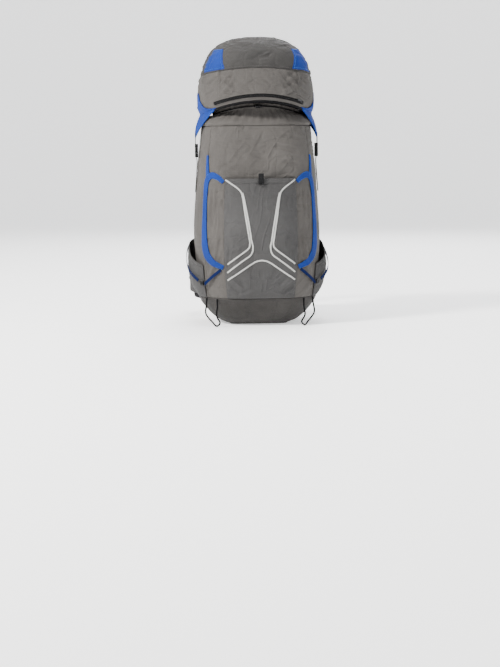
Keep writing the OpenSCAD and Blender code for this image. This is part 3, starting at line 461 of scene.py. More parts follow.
def fabric(name, color, dark=0.72, light=1.18, rough=0.82, sheen=0.25, pitch=0.0011, bump_mm=0.12, stain=0.35, ripstop=0.0, ribs=0.0, spec=0.2):
    """Woven cloth: threads in two directions on the cloth's own length and width, with mottling and dust."""
    m, nt, b = node_mat(name)
    L = nt.links.new
    uv = add(nt, "ShaderNodeUVMap", uv_map="cloth").outputs[0]
    obj = add(nt, "ShaderNodeTexCoord").outputs["Object"]
    sep = add(nt, "ShaderNodeSeparateXYZ")
    L(uv, sep.inputs[0])
    warp = math_node(nt, "SINE", math_node(nt, "MULTIPLY", sep.outputs[0], 2 * math.pi / pitch))
    weft = math_node(nt, "SINE", math_node(nt, "MULTIPLY", sep.outputs[1], 2 * math.pi / pitch))
    weave = math_node(nt, "MULTIPLY", warp, weft)
    if ribs:
        weave = math_node(nt, "SINE", math_node(nt, "MULTIPLY", sep.outputs[1], 2 * math.pi / ribs))
        weave = math_node(nt, "ADD", weave, math_node(nt, "MULTIPLY", warp, 0.35))
    big = add(nt, "ShaderNodeTexNoise", in_Scale=7.0, in_Detail=4.0, in_Roughness=0.6)
    fine = add(nt, "ShaderNodeTexNoise", in_Scale=420.0, in_Detail=3.0, in_Roughness=0.7)
    mid = add(nt, "ShaderNodeTexNoise", in_Scale=48.0, in_Detail=5.0, in_Roughness=0.65)
    for n in (big, fine, mid):
        L(obj, n.inputs["Vector"])
    lo, hi = tuple(c * dark for c in color), tuple(min(c * light, 1) for c in color)
    ramp = add(nt, "ShaderNodeMapRange", in_From_Min=0.3, in_From_Max=0.7)
    L(big.outputs[0], ramp.inputs[0])
    c = mix_color(nt, ramp.outputs[0], lo, hi)
    ramp2 = add(nt, "ShaderNodeMapRange", in_From_Min=0.35, in_From_Max=0.75, in_To_Max=stain)
    L(mid.outputs[0], ramp2.inputs[0])
    c = mix_color(nt, ramp2.outputs[0], c, tuple(min(v * 1.3 + 0.0004, 1) for v in color))
    thread = add(nt, "ShaderNodeMapRange", in_From_Min=-1.0, in_From_Max=1.0, in_To_Min=0.80, in_To_Max=1.12)
    L(weave, thread.inputs[0])
    c = mix_color(nt, 1.0, c, thread.outputs[0], "MULTIPLY")
    if ripstop:
        gu = math_node(nt, "PINGPONG", sep.outputs[0], ripstop / 2)
        gv = math_node(nt, "PINGPONG", sep.outputs[1], ripstop / 2)
        grid = math_node(nt, "LESS_THAN", math_node(nt, "MINIMUM", gu, gv), 0.00035)
        c = mix_color(nt, math_node(nt, "MULTIPLY", grid, 0.35), c, hi)
    L(c, b.inputs["Base Color"])
    r = add(nt, "ShaderNodeMapRange", in_From_Min=0.3, in_From_Max=0.7, in_To_Min=rough - 0.1, in_To_Max=min(rough + 0.1, 1))
    L(fine.outputs[0], r.inputs[0])
    L(r.outputs[0], b.inputs["Roughness"])
    b.inputs["Specular IOR Level"].default_value = spec
    b.inputs["Sheen Weight"].default_value = sheen
    b.inputs["Sheen Roughness"].default_value = 0.45
    h = math_node(nt, "ADD", math_node(nt, "MULTIPLY", weave, 0.5), math_node(nt, "MULTIPLY", fine.outputs[0], 0.8))
    bm = add(nt, "ShaderNodeBump", in_Strength=0.55, in_Distance=bump_mm / 1000)
    L(h, bm.inputs["Height"])
    b2 = add(nt, "ShaderNodeBump", in_Strength=0.35, in_Distance=0.0009)
    L(mid.outputs[0], b2.inputs["Height"])
    L(bm.outputs[0], b2.inputs["Normal"])
    L(b2.outputs[0], b.inputs["Normal"])
    return m


def mesh_fabric(name, color, cell=0.0032):
    """Knitted spacer mesh: rows of small round holes over a darker ground."""
    m, nt, b = node_mat(name)
    L = nt.links.new
    uv = add(nt, "ShaderNodeUVMap", uv_map="cloth").outputs[0]
    v = add(nt, "ShaderNodeTexVoronoi", feature="F1", in_Scale=1 / cell, in_Randomness=0.12)
    L(uv, v.inputs["Vector"])
    hole = add(nt, "ShaderNodeMapRange", in_From_Min=0.22, in_From_Max=0.40)
    L(v.outputs["Distance"], hole.inputs[0])
    obj = add(nt, "ShaderNodeTexCoord").outputs["Object"]
    n = add(nt, "ShaderNodeTexNoise", in_Scale=22.0, in_Detail=4.0)
    L(obj, n.inputs["Vector"])
    c = mix_color(nt, hole.outputs[0], tuple(x * 0.25 for x in color), color)
    c = mix_color(nt, math_node(nt, "MULTIPLY", n.outputs[0], 0.5), c, tuple(min(x * 1.7 + 0.001, 1) for x in color))
    L(c, b.inputs["Base Color"])
    rr = add(nt, "ShaderNodeMapRange", in_To_Min=0.78, in_To_Max=0.95)
    L(n.outputs[0], rr.inputs[0])
    L(rr.outputs[0], b.inputs["Roughness"])
    b.inputs["Sheen Weight"].default_value = 0.0
    b.inputs["Specular IOR Level"].default_value = 0.08
    bm = add(nt, "ShaderNodeBump", in_Strength=0.8, in_Distance=0.0006)
    L(hole.outputs[0], bm.inputs["Height"])
    L(bm.outputs[0], b.inputs["Normal"])
    return m


def hard(name, color, rough=0.42, metallic=0.0, grain=900.0, bump_mm=0.05, wear=0.12, spec=0.4):
    m, nt, b = node_mat(name)
    L = nt.links.new
    obj = add(nt, "ShaderNodeTexCoord").outputs["Object"]
    big = add(nt, "ShaderNodeTexNoise", in_Scale=60.0, in_Detail=5.0, in_Roughness=0.6)
    fine = add(nt, "ShaderNodeTexNoise", in_Scale=grain, in_Detail=2.0)
    for n in (big, fine):
        L(obj, n.inputs["Vector"])
    geo = add(nt, "ShaderNodeNewGeometry")
    edge = add(nt, "ShaderNodeMapRange", in_From_Min=0.52, in_From_Max=0.62, in_To_Max=wear)
    L(geo.outputs["Pointiness"], edge.inputs[0])
    c = mix_color(nt, big.outputs[0], tuple(x * 0.8 for x in color), tuple(min(x * 1.25 + 0.002, 1) for x in color))
    c = mix_color(nt, edge.outputs[0], c, tuple(min(x * 2 + 0.006, 1) for x in color))
    L(c, b.inputs["Base Color"])
    r = add(nt, "ShaderNodeMapRange", in_From_Min=0.3, in_From_Max=0.7, in_To_Min=rough - 0.08, in_To_Max=rough + 0.12)
    L(big.outputs[0], r.inputs[0])
    L(r.outputs[0], b.inputs["Roughness"])
    b.inputs["Metallic"].default_value = metallic
    b.inputs["Specular IOR Level"].default_value = spec
    bm = add(nt, "ShaderNodeBump", in_Strength=0.4, in_Distance=bump_mm / 1000)
    L(fine.outputs[0], bm.inputs["Height"])
    L(bm.outputs[0], b.inputs["Normal"])
    return m


M = {
    "body": fabric("body_cloth", (0.054, 0.0498, 0.0460), sheen=0.0, ripstop=0.006),
    "cool": fabric("pocket_cloth", (0.0385, 0.0374, 0.0370), sheen=0.0, ripstop=0.006),
    # lid top cloth is darker than the body cloth: painted shade for the upward-facing top of the lid
    "top": fabric("lid_top_painted_shade_cloth", (0.0265, 0.0250, 0.0238), sheen=0.0, pitch=0.0009),
    # base cloth is darker than the body cloth: partly its own darker fabric, partly painted shade of the
    # downward-turning base
    "base": fabric("base_cloth", (0.0270, 0.0250, 0.0235), sheen=0.0, pitch=0.0016, bump_mm=0.2, rough=0.75),
    "lining": fabric("lining_cloth", (0.030, 0.029, 0.028), sheen=0.04, pitch=0.0008, rough=0.7),
    "blue": fabric("accent_cloth", (0.0001, 0.0185, 0.150), dark=0.72, light=1.25, sheen=0.0, stain=0.05, spec=0.2),
    "bluedark": fabric("accent_edge_cloth", (0.010, 0.060, 0.220)),
    "foam": fabric("foam_cover_cloth", (0.0050, 0.0052, 0.0060), sheen=0.0, spec=0.08, pitch=0.0013, rough=0.88, bump_mm=0.16),
    "spacer": mesh_fabric("spacer_mesh", (0.0075, 0.0077, 0.0088)),
    "net": mesh_fabric("back_mesh", (0.0105, 0.011, 0.013), cell=0.0042),
    "web": fabric("webbing_cloth", (0.0028, 0.0028, 0.0033), sheen=0.0, spec=0.07, pitch=0.0022, ribs=0.0018, rough=0.7, bump_mm=0.25, stain=0.15),
    "navy": fabric("navy_cord_cloth", (0.0006, 0.0050, 0.038), sheen=0.0, spec=0.1, pitch=0.0018, ribs=0.0015, bump_mm=0.2),
    "tape": fabric("zip_tape_cloth", (0.0035, 0.0035, 0.0038), sheen=0.0, spec=0.08, pitch=0.001, ribs=0.0012, rough=0.75),
    "trim": fabric("pale_trim_cloth", (0.34, 0.34, 0.325), pitch=0.0009, rough=0.5, sheen=0.1, stain=0.2),
    "thread": hard("thread", (0.075, 0.072, 0.068), rough=0.8, grain=2500.0),
    "thread_dark": hard("thread_dark", (0.02, 0.02, 0.022), rough=0.8, grain=2500.0),
    "thread_blue": hard("thread_blue", (0.03, 0.16, 0.46), rough=0.8, grain=2500.0),
    "plastic": hard("black_acetal", (0.003, 0.003, 0.0033), rough=0.45, spec=0.10),
    "zipmetal": hard("zip_metal", (0.035, 0.035, 0.037), rough=0.33, metallic=0.85),
    "alu": hard("anodised_tube", (0.52, 0.53, 0.54), rough=0.3, metallic=1.0, grain=400.0),
}


def done(o, body, node=None):
    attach(o, body)
    if node:
        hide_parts(*([node] if isinstance(node, str) else node))
    return o


def line_on(fn, along, lift=0.0):
    """Points of a surface function along a list of its two coordinates, with outward normals."""
    c = np.asarray(along, float)
    p = fn(c[:, 0], c[:, 1])
    h = 0.4
    du = fn(c[:, 0], c[:, 1] + h) - fn(c[:, 0], c[:, 1] - h)
    dv = fn(c[:, 0] + h, c[:, 1]) - fn(c[:, 0] - h, c[:, 1])
    n = unit(np.cross(du, dv))
    return p + n * lift, n


# ------------------------------------------------------------------ bag panels
def edge_pull(s, w=3.0):
    return bump(s, w)


def panel(name, a0, a1, na, z0, z1, nz, mat, extra=None, disp=body_disp, pull=(1, 1, 1, 1), off=0.0, node=None):
    a = np.linspace(a0, a1, na)
    z = np.linspace(z0, z1, nz)
    A, Z = np.meshgrid(a, z, indexing="ij")
    p = bag(Z, A, off)
    n = grid_normals(p)
    arc = np.concatenate([[0], np.cumsum(np.linalg.norm(np.diff(p[:, nz // 2], axis=0), axis=1))])
    sa, sb = arc[:, None], (arc[-1] - arc)[:, None]
    sc, sd = (z - z0)[None, :], (z1 - z)[None, :]
    near = np.minimum(np.minimum(sa / max(pull[0], 1e-6), sb / max(pull[1], 1e-6)), np.minimum(sc / max(pull[2], 1e-6), sd / max(pull[3], 1e-6)))
    ease = 1 - bump(near, 9)
    d = disp(p) * (0.15 + 0.85 * ease) - 1.5 * bump(near, 2.4)
    pucker = np.sin(Z / 3.1 + 2 * noise(p, (20, 20, 20), 21)) * 0.45
    d = d + pucker * np.maximum(pull[0] * bump(sa - 5, 6), pull[1] * bump(sb - 5, 6))
    pucker = np.sin(A * 1.1 + 2 * noise(p, (20, 20, 20), 22)) * 0.45
    d = d + pucker * np.maximum(pull[2] * bump(sc - 5, 6), pull[3] * bump(sd - 5, 6))
    if extra is not None:
        d = d + extra(p, A, Z)
    return done(cloth(name, p + n * d[..., None], mat), "bag", node)


def under_pocket(p, A, Z):
    """The bag's front lies flatter behind its pocket, so the pocket stays clear of it."""
    inside = np.clip((31.5 - np.abs(A - 270)) / 1.5, 0, 1) * np.clip((POCKET_TOP + 4 - Z) / 6, 0, 1)
    base = body_disp(p)
    return inside * (-np.maximum(base, 0) - 1.0)


def yoke_flat(p, A, Z):
    return 0


panel("front_cloth", 180 + SEAM, 360 - SEAM, 210, BASE_H + 0.2, BAG_H, 240, M["body"], extra=under_pocket, pull=(1, 1, 1, 0.15), node="front_panel")
for side, name in ((1, "right"), (-1, "left")):
    lo, hi = (-SEAM + 0.15, REAR_SEAM - 0.15) if side > 0 else (180 - REAR_SEAM + 0.15, 180 + SEAM - 0.15)
    panel("side_cloth_" + name, lo, hi, 80, BASE_H + 0.2, BAG_H, 170, M["body"],
          disp=lambda p: 0.55 * body_disp(p), extra=lambda p, A, Z: -0.9 + 0 * A, node="side_panel_" + name)
panel("rear_cloth", REAR_SEAM, 180 - REAR_SEAM, 110, BASE_H + 0.2, BAG_H, 150, M["lining"],
      disp=lambda p: 0.3 * body_disp(p) - 0.6, node="rear_panel")


def base_cloth():
    na, nz = 220, 46
    a = np.linspace(0, 360, na, endpoint=False)
    z = BASE_H * (np.linspace(0, 1, nz) ** 1.25)
    A, Z = np.meshgrid(a, z, indexing="ij")
    p = bag(Z, A)
    n = grid_normals(p, True)
    d = 1.1 * noise(p, (60, 60, 30), 31) + 1.0 * crease(p, (34, 34, 26), 0.3, 33) - 0.4
    d = d * np.clip(Z / 24, 0, 1) * (1 - 0.8 * bump(BASE_H - Z, 6)) - 1.3 * bump(BASE_H - Z, 2.2)
    for dart in (238, 256, 284, 302, 206, 334):
        d = d - 1.5 * bump((A - dart) * 2.6, 2.0) * np.clip(Z / 20, 0, 1)
    p = p + n * d[..., None]
    p[..., 2] = np.maximum(p[..., 2], 1.35)
    # the darker base cloth here is partly painted shade of the base turning under
    o = cloth("base_cloth", p, M["base"], wrap=True, cap=0)
    done(o, "bag", "base_panel")
    lines = []
    for dart in (238, 256, 284, 302, 206, 334):
        for s in (-1.6, 1.6):
            lines.append(line_on(lambda zz, aa: bag(zz, aa), [(zz, dart + s) for zz in np.linspace(16, BASE_H - 4, 30)], -0.1))
    lines.append(line_on(lambda zz, aa: bag(zz, aa), [(BASE_H - 5, aa) for aa in np.linspace(0, 360, 240)], -0.3))
    done(stitches("base_stitches", lines, M["thread_dark"]), "bag")


base_cloth()


def collar_cloth():
    na, nt_ = 260, 34
    a = np.linspace(0, 360, na, endpoint=False)
    t = np.linspace(0, 1, nt_)
    A, T = np.meshgrid(a, t, indexing="ij")
    low = bag(BAG_H, A)
    r = np.radians(A)
    mx, my = 120 * np.cos(r), -32 + 93 * np.sin(r)
    top = LID_EDGE + 1 - 13 - LID_ARCH * (mx / (LID_W / 2)) ** 2
    s = T * T * (3 - 2 * T)
    p = stack(low[..., 0] * (1 - s) + mx * s, low[..., 1] * (1 - s) + my * s, (BAG_H + 0.2) * (1 - T) + top * T)
    n = grid_normals(p, True)
    gather = np.sin(r * 46 + 1.6 * np.sin(r * 5)) + 0.5 * np.sin(r * 27 + 1)
    d = gather * 1.7 * np.clip(T * 1.5, 0, 1) * (1 - 0.6 * bump((1 - T) * 40, 6)) + 1.2 * noise(p, (30, 30, 24), 41)
    d = np.clip(d - 0.6, -4.5, 2.2) + 11 * np.sin(math.pi * T**0.85) * np.abs(np.cos(r)) ** 1.3 * (1 - T**6)
    ease = np.clip(T / 0.12, 0, 1)
    p = p + n * (d * ease - 0.7 * (1 - ease))[..., None]
    p[..., 2] = np.minimum(p[..., 2], top + 0.4)
    # above the cord the cloth stands up in a ruffle, drawn in a little
    up = np.linspace(0, 1, 9)[1:]
    r2 = r[:, :1]
    wave = 1.6 * np.sin(r2 * 46 + 1.6 * np.sin(r2 * 5)) + 1.2 * np.sin(r2 * 29 + 2)
    rx, ry = 119.6 - 5 * np.sin(up * 2.2) + wave * up, 92.6 - 5 * np.sin(up * 2.2) + wave * up
    rx = rx + 12 * up * np.abs(np.cos(r2)) ** 2
    qx = rx * np.cos(r2)
    ruff = stack(qx, -32 + ry * np.sin(r2), 595.4 + 9.4 * up - LID_ARCH * (qx / (LID_W / 2)) ** 2)
    p = np.concatenate([p, ruff], 1)
    return done(cloth("collar_cloth", p, M["body"], wrap=True), "bag", "collar")


collar_cloth()
ang = np.radians(np.arange(0, 360, 4))
ring = stack(119.2 * np.cos(ang), -32 + 92.2 * np.sin(ang), 596.6 - LID_ARCH * (119.2 * np.cos(ang) / 160) ** 2)
cord_ring = done(tube("collar_cord", ring, 3.0, M["web"], closed=True), "bag", "collar_drawcord")
LOCK_Y = -32 - 93 + 0.8 - 1.5 - 5.2 - 0.3
for k, x in enumerate((-1.6, 1.6)):
    tail = spline([(x, LOCK_Y + 7.5, 596.6), (x, LOCK_Y, 596.6), (x, LOCK_Y - 14, 596.6), (x * 1.05, LOCK_Y - 26, 595.4)], 30)
    done(tube("collar_cord_tail_%d" % k, tail, 2.9, M["web"]), "bag")


# ------------------------------------------------------------------ front pocket
def pocket_off(a, z):
    u = (np.asarray(a, float) - 270) / (90 - POCKET_SEAM)
    v = (np.asarray(z, float) - BASE_H) / (POCKET_TOP - BASE_H)
    return 1.9 + POCKET_GAP * (1 - np.abs(np.clip(u, -1, 1)) ** 3.2) * (1 - (1 - np.clip(v, 0, 1)) ** 5)


def pocket_disp(p):
    d = 1.9 * noise(p, (80, 80, 120), 51) + 0.8 * noise(p, (30, 30, 42), 53)
    d = d + 1.2 * crease(p, (50, 60, 38), 0.28, 57)
    d = d + mirrored_folds(p, [((84, 150), (40, 108), 5, 2.6), ((88, 120), (55, 88), 4, 2.2), ((90, 396), (84, 300), 4, 1.6),
                               ((86, 230), (92, 150), 4, 2.0), ((70, 92), (20, 104), 4, 1.6)])
    flip = np.where(p[..., 0] > 0, 1.0, -1.0)
    q = stack(np.abs(p[..., 0]), p[..., 1], p[..., 2] + flip * 17)
    d = d + 3.8 * folds(q, -28, 9, 60, 231) * near_line(p, 70, 265, 26, 80)
    d = d + 3.8 * folds(q, 35, 9, 60, 235) * near_line(p, 62, 108, 46, 34)
    d = d + 1.8 * folds(p, 80, 12, 90, 239)
    return np.clip(d, -4.2, 3.4)


def pocket_point(z, a, lift=0.0):
    return bag(z, a, pocket_off(a, z) - 0.2 + lift)


def pocket_surface(z, a):
    z, a = np.broadcast_arrays(np.asarray(z, float), np.asarray(a, float))
    p = pocket_point(z, a)
    u = np.abs(a - 270) / 31
    ease = np.clip((1 - u) / 0.12, 0, 1) * np.clip((z - BASE_H) / 14, 0, 1)
    c = unit(stack(p[..., 0] * 0.5, p[..., 1], 0 * p[..., 2]))
    return p + c * (pocket_disp(p) * ease)[..., None]


def front_pocket():
    a = np.linspace(180 + POCKET_SEAM, 360 - POCKET_SEAM, 150)
    z = np.linspace(BASE_H + 1, POCKET_TOP, 230)
    A, Z = np.meshgrid(a, z, indexing="ij")
    p = pocket_surface(Z, A)
    n = grid_normals(p)
    hem = POCKET_TOP - Z
    d = 0.9 * np.clip((14 - hem) / 3, 0, 1) - 1.3 * bump(hem - 14, 1.6)
    side = np.minimum(A - a[0], a[-1] - A) * 3.0
    d = d - 1.2 * bump(side, 2.2) + 0.5 * np.sin(Z / 2.6) * bump(side - 5, 5)
    done(cloth("front_pocket_cloth", p + n * d[..., None], M["cool"]), "bag", "front_pocket")
    lines = []
    for h in (3.0, 12.0):
        lines.append(line_on(pocket_surface, [(POCKET_TOP - h, aa) for aa in np.linspace(240, 300, 60)], 1.0))
    for aa in (240.6, 299.4):
        lines.append(line_on(pocket_surface, [(zz, aa) for zz in np.linspace(BASE_H + 6, POCKET_TOP - 6, 90)], 0.1))
    done(stitches("pocket_stitches", lines, M["thread"]), "bag")


front_pocket()


def angle_for(x, z, off=12.0):
    lo, hi = 270.0, 330.0
    s = 1 if x >= 0 else -1
    for _ in range(40):
        mid = (lo + hi) / 2
        px = float(bag(z, mid, off)[..., 0])
        if px < abs(x):
            lo = mid
        else:
            hi = mid
    return 270 + s * (lo - 270)


def trim_line(name, points, width=4.2, lift=1.1):
    pts = spline(points, 60)
    c = np.array([(z, angle_for(x, z)) for x, z in pts])
    p, n = line_on(pocket_surface, c, lift)
    t = unit(np.gradient(p, axis=0))
    return ribbon(name, p, np.cross(n, t), width, M["trim"], thick=1.1, kind="tape", step=2.5)


def zx(px, py):
    return (px - 259.0) * 2.66, 500 + (142.4 - py) * 2.66


TRIM_OUTER = [(-97, 400), (-70, 384), (-55, 371), (-49, 356), (-42, 306), (-34, 253), (-31, 227), (-38, 214), (-62, 196), (-95, 173)]
TRIM_INNER = [(-49, 366), (-44, 345), (-34, 287), (-27, 241), (-23, 219), (-29, 200), (-50, 184), (-95, 151)]
TRIM_ARCH = [(-95, 130), (-62, 151), (-22, 178), (-6, 184), (6, 184), (22, 178), (62, 151), (95, 130)]
for k, row in enumerate((TRIM_OUTER, TRIM_INNER)):
    done(trim_line("pale_trim_left_%d" % k, row), "bag")
    done(trim_line("pale_trim_right_%d" % k, [(-x, z) for x, z in row]), "bag")
done(trim_line("pale_trim_arch", TRIM_ARCH), "bag")


# ------------------------------------------------------------------ side pockets
S_FRONT, S_BACK, S_LOW, S_HIGH = -SEAM + 3.2, REAR_SEAM - 14, 168.0, 236.0


def side_surface(v, a):
    v, a = np.broadcast_arrays(np.asarray(v, float), np.asarray(a, float))
    top = S_LOW + (S_HIGH - S_LOW) * (a - S_FRONT) / (S_BACK - S_FRONT)
    z = (BASE_H + 1) * (1 - v) + top * v
    u = 2 * (a - S_FRONT) / (S_BACK - S_FRONT) - 1
    off = 1.9 + SIDE_GAP * (1 - np.abs(np.clip(u, -1, 1)) ** 3) * (1 - (1 - v) ** 4) * (1 - 0.42 * v**6)
    return bag(z, a, off - 0.2)


def side_pocket(side, name):
    a = np.linspace(S_FRONT, S_BACK, 110)
    v = np.linspace(0, 1, 90)
    A, V = np.meshgrid(a, v, indexing="ij")
    p = side_surface(V, A)
    n = grid_normals(p)
    d = 1.3 * noise(p, (40, 50, 60), 61 + side) + 1.4 * crease(p, (34, 44, 30), 0.34, 63 + side)
    ease = np.clip(V / 0.1, 0, 1) * np.clip((a - a[0]) / 3, 0, 1)[:, None] * np.clip((a[-1] - a) / 3, 0, 1)[:, None]
    hem = 1 - V
    d = np.clip(d, -2.5, 0.5) * ease * np.clip(hem / 0.05, 0, 1)
    d = d + np.sin(A * 2.4) * 0.7 * bump(hem - 0.02, 0.05) * ease + 0.8 * np.clip((0.07 - hem) / 0.02, 0, 1) - 1.0 * bump(hem - 0.085, 0.012)
    p = p + n * d[..., None]
    if side < 0:
        p = flip_x(p)
    done(cloth("side_pocket_cloth_" + name, p, M["cool"], flip=side < 0), "bag", "side_pocket_" + name)
    lines = []
    for vv in (0.945, 0.985):
        q, m = line_on(side_surface, [(vv, aa) for aa in np.linspace(S_FRONT + 2, S_BACK - 2, 60)], 1.1)
        lines.append((q, m) if side > 0 else (flip_x(q), flip_x(m)))
    done(stitches("side_pocket_stitches_" + name, lines, M["thread"]), "bag")


# ------------------------------------------------------------------ blue yokes
YOKE = np.array([[-POCKET_SEAM + 1, 394], [-53, 406], [-47, 412], [-42.5, 407], [-39.8, 390], [-39.2, 350], [-39.2, 300], [-39.2, 250],
                 [-40, 215], [-43, 192], [-49, 176], [-POCKET_SEAM + 1, 164]])
YOKE_W = np.array([10, 14, 17, 18, 18, 16, 17, 20, 24, 23, 18, 12.0])
TAIL = np.array([[-41.5, 404], [-40, 434], [-38.8, 466]])


def band(name, route, widths, side, mat, off=1.0, t=1.4, n=90, rows=13):
    r = spline(route, n)
    w = spline(widths, n)
    step = np.gradient(r, axis=0)
    step = step * np.array([3.0, 1.0])
    step = unit(step)
    perp = np.stack([-step[:, 1] / 3.0, step[:, 0]], -1)
    k = np.linspace(-1, 1, rows)
    q = r[:, None] + perp[:, None] * (k[None, :, None] * w[:, None, None] / 2)
    crown = 1 - np.abs(k) ** 6
    base = bag(q[..., 1], q[..., 0], off + t - 0.2)
    lift = body_disp(base) * 0.5
    p = bag(q[..., 1], q[..., 0], off + t - 0.6 + 0.7 * crown[None, :] + np.clip(lift, 0, 1.6))
    c = np.cross(np.gradient(p, axis=0), np.gradient(p, axis=1))
    out = np.sum(c * stack(p[..., 0], p[..., 1], 0 * p[..., 2]), -1).mean() > 0
    flip = not out
    if side < 0:
        p = flip_x(p)
        flip = not flip
    o = cloth(name, p, mat, thick=1.3, flip=flip)
    lines = []
    for kk in (-0.86, 0.86):
        qq = r + perp * (kk * w / 2)[:, None]
        l, m = line_on(lambda zz, aa: bag(zz, aa, off + t + 0.1), np.stack([qq[:, 1], qq[:, 0]], -1), 0.1)
        lines.append((l, m) if side > 0 else (flip_x(l), flip_x(m)))
    return o, lines


for side, name in ((1, "right"), (-1, "left")):
    side_pocket(side, name)
    o, lines = band("side_yoke_cloth_" + name, YOKE, YOKE_W, side, M["blue"])
    done(o, "bag", "side_yoke_" + name)
    o, more = band("side_yoke_tail_" + name, TAIL, np.array([14, 11, 8.0]), side, M["blue"], n=30)
    done(o, "bag")
    done(stitches("yoke_stitches_" + name, lines + more, M["thread_blue"]), "bag")

# ------------------------------------------------------------------ cords and webbing on the bag
COMP = [bag(228, 30, 1.3), bag(214, 20, SIDE_GAP - 8), bag(200, 10, SIDE_GAP - 1), bag(172, -8, SIDE_GAP + 4.4),
        bag(148, -22, SIDE_GAP + 4), bag(126, -32.6, SIDE_GAP - 5)]
COMP2 = [bag(117 + (158 - 117) * k, -39.2 + (-POCKET_SEAM + 3 + 39.2) * k, 9 + (3.1 - 9) * k) for k in np.linspace(0, 1, 7)]
PAD_X = (104.0, 134.0)


def pad_path():
    f = []
    for x in PAD_X:
        a = 360 - math.degrees(math.acos(min(x / (BAG_W / 2 * 0.97), 1))) * 0.93
        f.append(bag(BASE_H - 2, a, 1.4))
    A, B = f
    pts = [A, A + (-0.5, -4, -20), A + (2, -6, -45), np.array([PAD_X[0] + 8, A[1] - 5, 12]),
           np.array([(PAD_X[0] + PAD_X[1]) / 2 + 2, A[1] - 3, 2.6]), np.array([PAD_X[1] - 2, B[1] - 18, 12]),
           B + (3, -12, -42), B + (1.5, -5, -18), B]
    return spline(np.array(pts), 60)


LB_X = float(bag(460, 0, 0)[..., 0]) + 5.2
LB_Y, SOCK_Z = -26.0, 486.0
for side, name in ((1, "right"), (-1, "left")):
    mir = (lambda p: np.asarray(p, float)) if side > 0 else flip_x
    done(ribbon("compression_cord_" + name, mir(spline(np.array(COMP), 60)), (0, 0, 1), 8, M["navy"]), "bag", "compression_strap_" + name)
    done(ribbon("compression_tail_" + name, mir(spline(np.array(COMP2), 30)), (0, 0, 1), 8, M["navy"]), "bag")
    route = mir(pad_path())
    o = done(tube("pad_strap_cord_" + name, route, 4.6, M["web"], step=2), "bag", "pad_strap_" + name)
    drops, lifts = (26.4, 36, 50, 70, 95, 122), (4.4, 3.2, 2.2, 1.6, 1.5, 1.5)
    pts = []
    for k, (dr, li) in enumerate(zip(drops, lifts)):
        q = bag(SOCK_Z - dr, -9, li)
        pts.append((LB_X if k == 0 else float(q[0]), LB_Y, float(q[2])))
    done(ribbon("lid_anchor_web_" + name, mir(spline(np.array(pts), 40)), (0, 1, 0), 15, M["web"]), "bag", "lid_anchor_strap_" + name)

tilt = math.radians(50)
out, flat = np.array([0, math.sin(tilt), math.cos(tilt)]), np.array([0, math.cos(tilt), -math.sin(tilt)])
arch = [(-27, 0), (-27, 12), (-21, 25), (-9, 31), (9, 31), (21, 25), (27, 12), (27, 0)]
path = [np.array([q[0], BACK_Y + 7 * math.cos(tilt) + 0.2, 588 - 34]) + q[1] * out for q in arch]
done(ribbon("haul_loop_web", spline(np.array(path), 60), flat, 14, M["web"], thick=2.6), "bag", "haul_loop")


# ------------------------------------------------------------------ back and harness
def back_net():
    half, low, high, r = FRAME_W / 2 + 3, 96 + 0.0, 588.0, 56.0
    zs = np.linspace(low, high, 120)
    us = np.linspace(-1, 1, 90)
    U, Z = np.meshgrid(us, zs, indexing="ij")
    near = np.minimum(Z - low, high - Z)
    cut = np.where(near < r, half - r + np.sqrt(np.maximum(r * r - (r - near) ** 2, 0)), half)
    X = U * cut
    dish = -1.4 * (1 - U**2) * np.clip(near / 60, 0, 1)
    p = stack(X, MESH_Y + 1.2 + 0 * X + dish, Z)
    o = cloth("back_net", p, M["net"], thick=1.0, flip=True)
    done(o, "bag", "back_mesh")
    edge = []
    for t in np.linspace(0, 1, 200, endpoint=False):
        ang_ = 2 * math.pi * t
        cx, cz = (half - 3 - r) * np.sign(math.cos(ang_)), ((high - low) / 2 - r) * np.sign(math.sin(ang_))
        edge.append((cx + r * math.cos(ang_), MESH_Y + 1.0, (high + low) / 2 + cz + r * math.sin(ang_)))
    edge = np.array(edge)
    closed = np.concatenate([edge, edge[:1]])
    centre = np.array([0, MESH_Y + 1, (high + low) / 2])
    side_dir = unit((closed - centre) * np.array([1, 0, 1]))
    done(ribbon("back_net_binding", closed, side_dir, 9, M["web"], thick=2.0, kind="tape", step=5), "bag")


back_net()


def pad(name, surf, mat, side, node, seams, cap=3.0):
    """A closed foam pad between an outer and an inner grid; seams holds the sewn lines of each."""
    outer, inner = surf
    if side < 0:
        outer, inner = flip_x(outer), flip_x(inner)
    a, b = outer.shape[:2]
    loop = np.concatenate([outer, inner[:, ::-1]], 1)
    m = loop.shape[1]
    idx = np.arange(a * m).reshape(a, m)
    faces = []
    for j in range(m):
        k = (j + 1) % m
        faces += np.stack([idx[:-1, j], idx[1:, j], idx[1:, k], idx[:-1, k]], -1).tolist()
    faces.append([int(v) for v in idx[0][::-1]])
    faces.append([int(v) for v in idx[-1]])
    v = loop.reshape(-1, 3)
    tris = np.array([f[:3] for f in faces[:-2]])
    c = v.mean(0)
    vol = np.einsum("ij,ij->", v[tris[:, 0]] - c, np.cross(v[tris[:, 1]] - c, v[tris[:, 2]] - c))
    if vol < 0:
        faces = [f[::-1] for f in faces]
    du = np.concatenate([[0], np.cumsum(np.linalg.norm(np.diff(loop[:, m // 4], axis=0), axis=1))]) / 1000
    dv = np.concatenate([[0], np.cumsum(np.linalg.norm(np.diff(loop[a // 2], axis=0), axis=1))]) / 1000
    uv = np.stack(np.meshgrid(du, dv, indexing="ij"), -1).reshape(-1, 2)
    o = link(name, v, faces, mat, uv)
    held = np.concatenate([seams[0], seams[1][:, ::-1]], 1)
    held[:2] = held[-2:] = 1
    swell(o, held, cap)
    return done(o, "bag", node)


def seam_mask(*masks):
    """1 on a sewn line, 0.3 beside it, 0 elsewhere."""
    m = np.max(np.broadcast_arrays(*masks), 0)
    return np.where(m > 0.6, 1.0, np.where(m > 0.25, 0.3, 0.0))


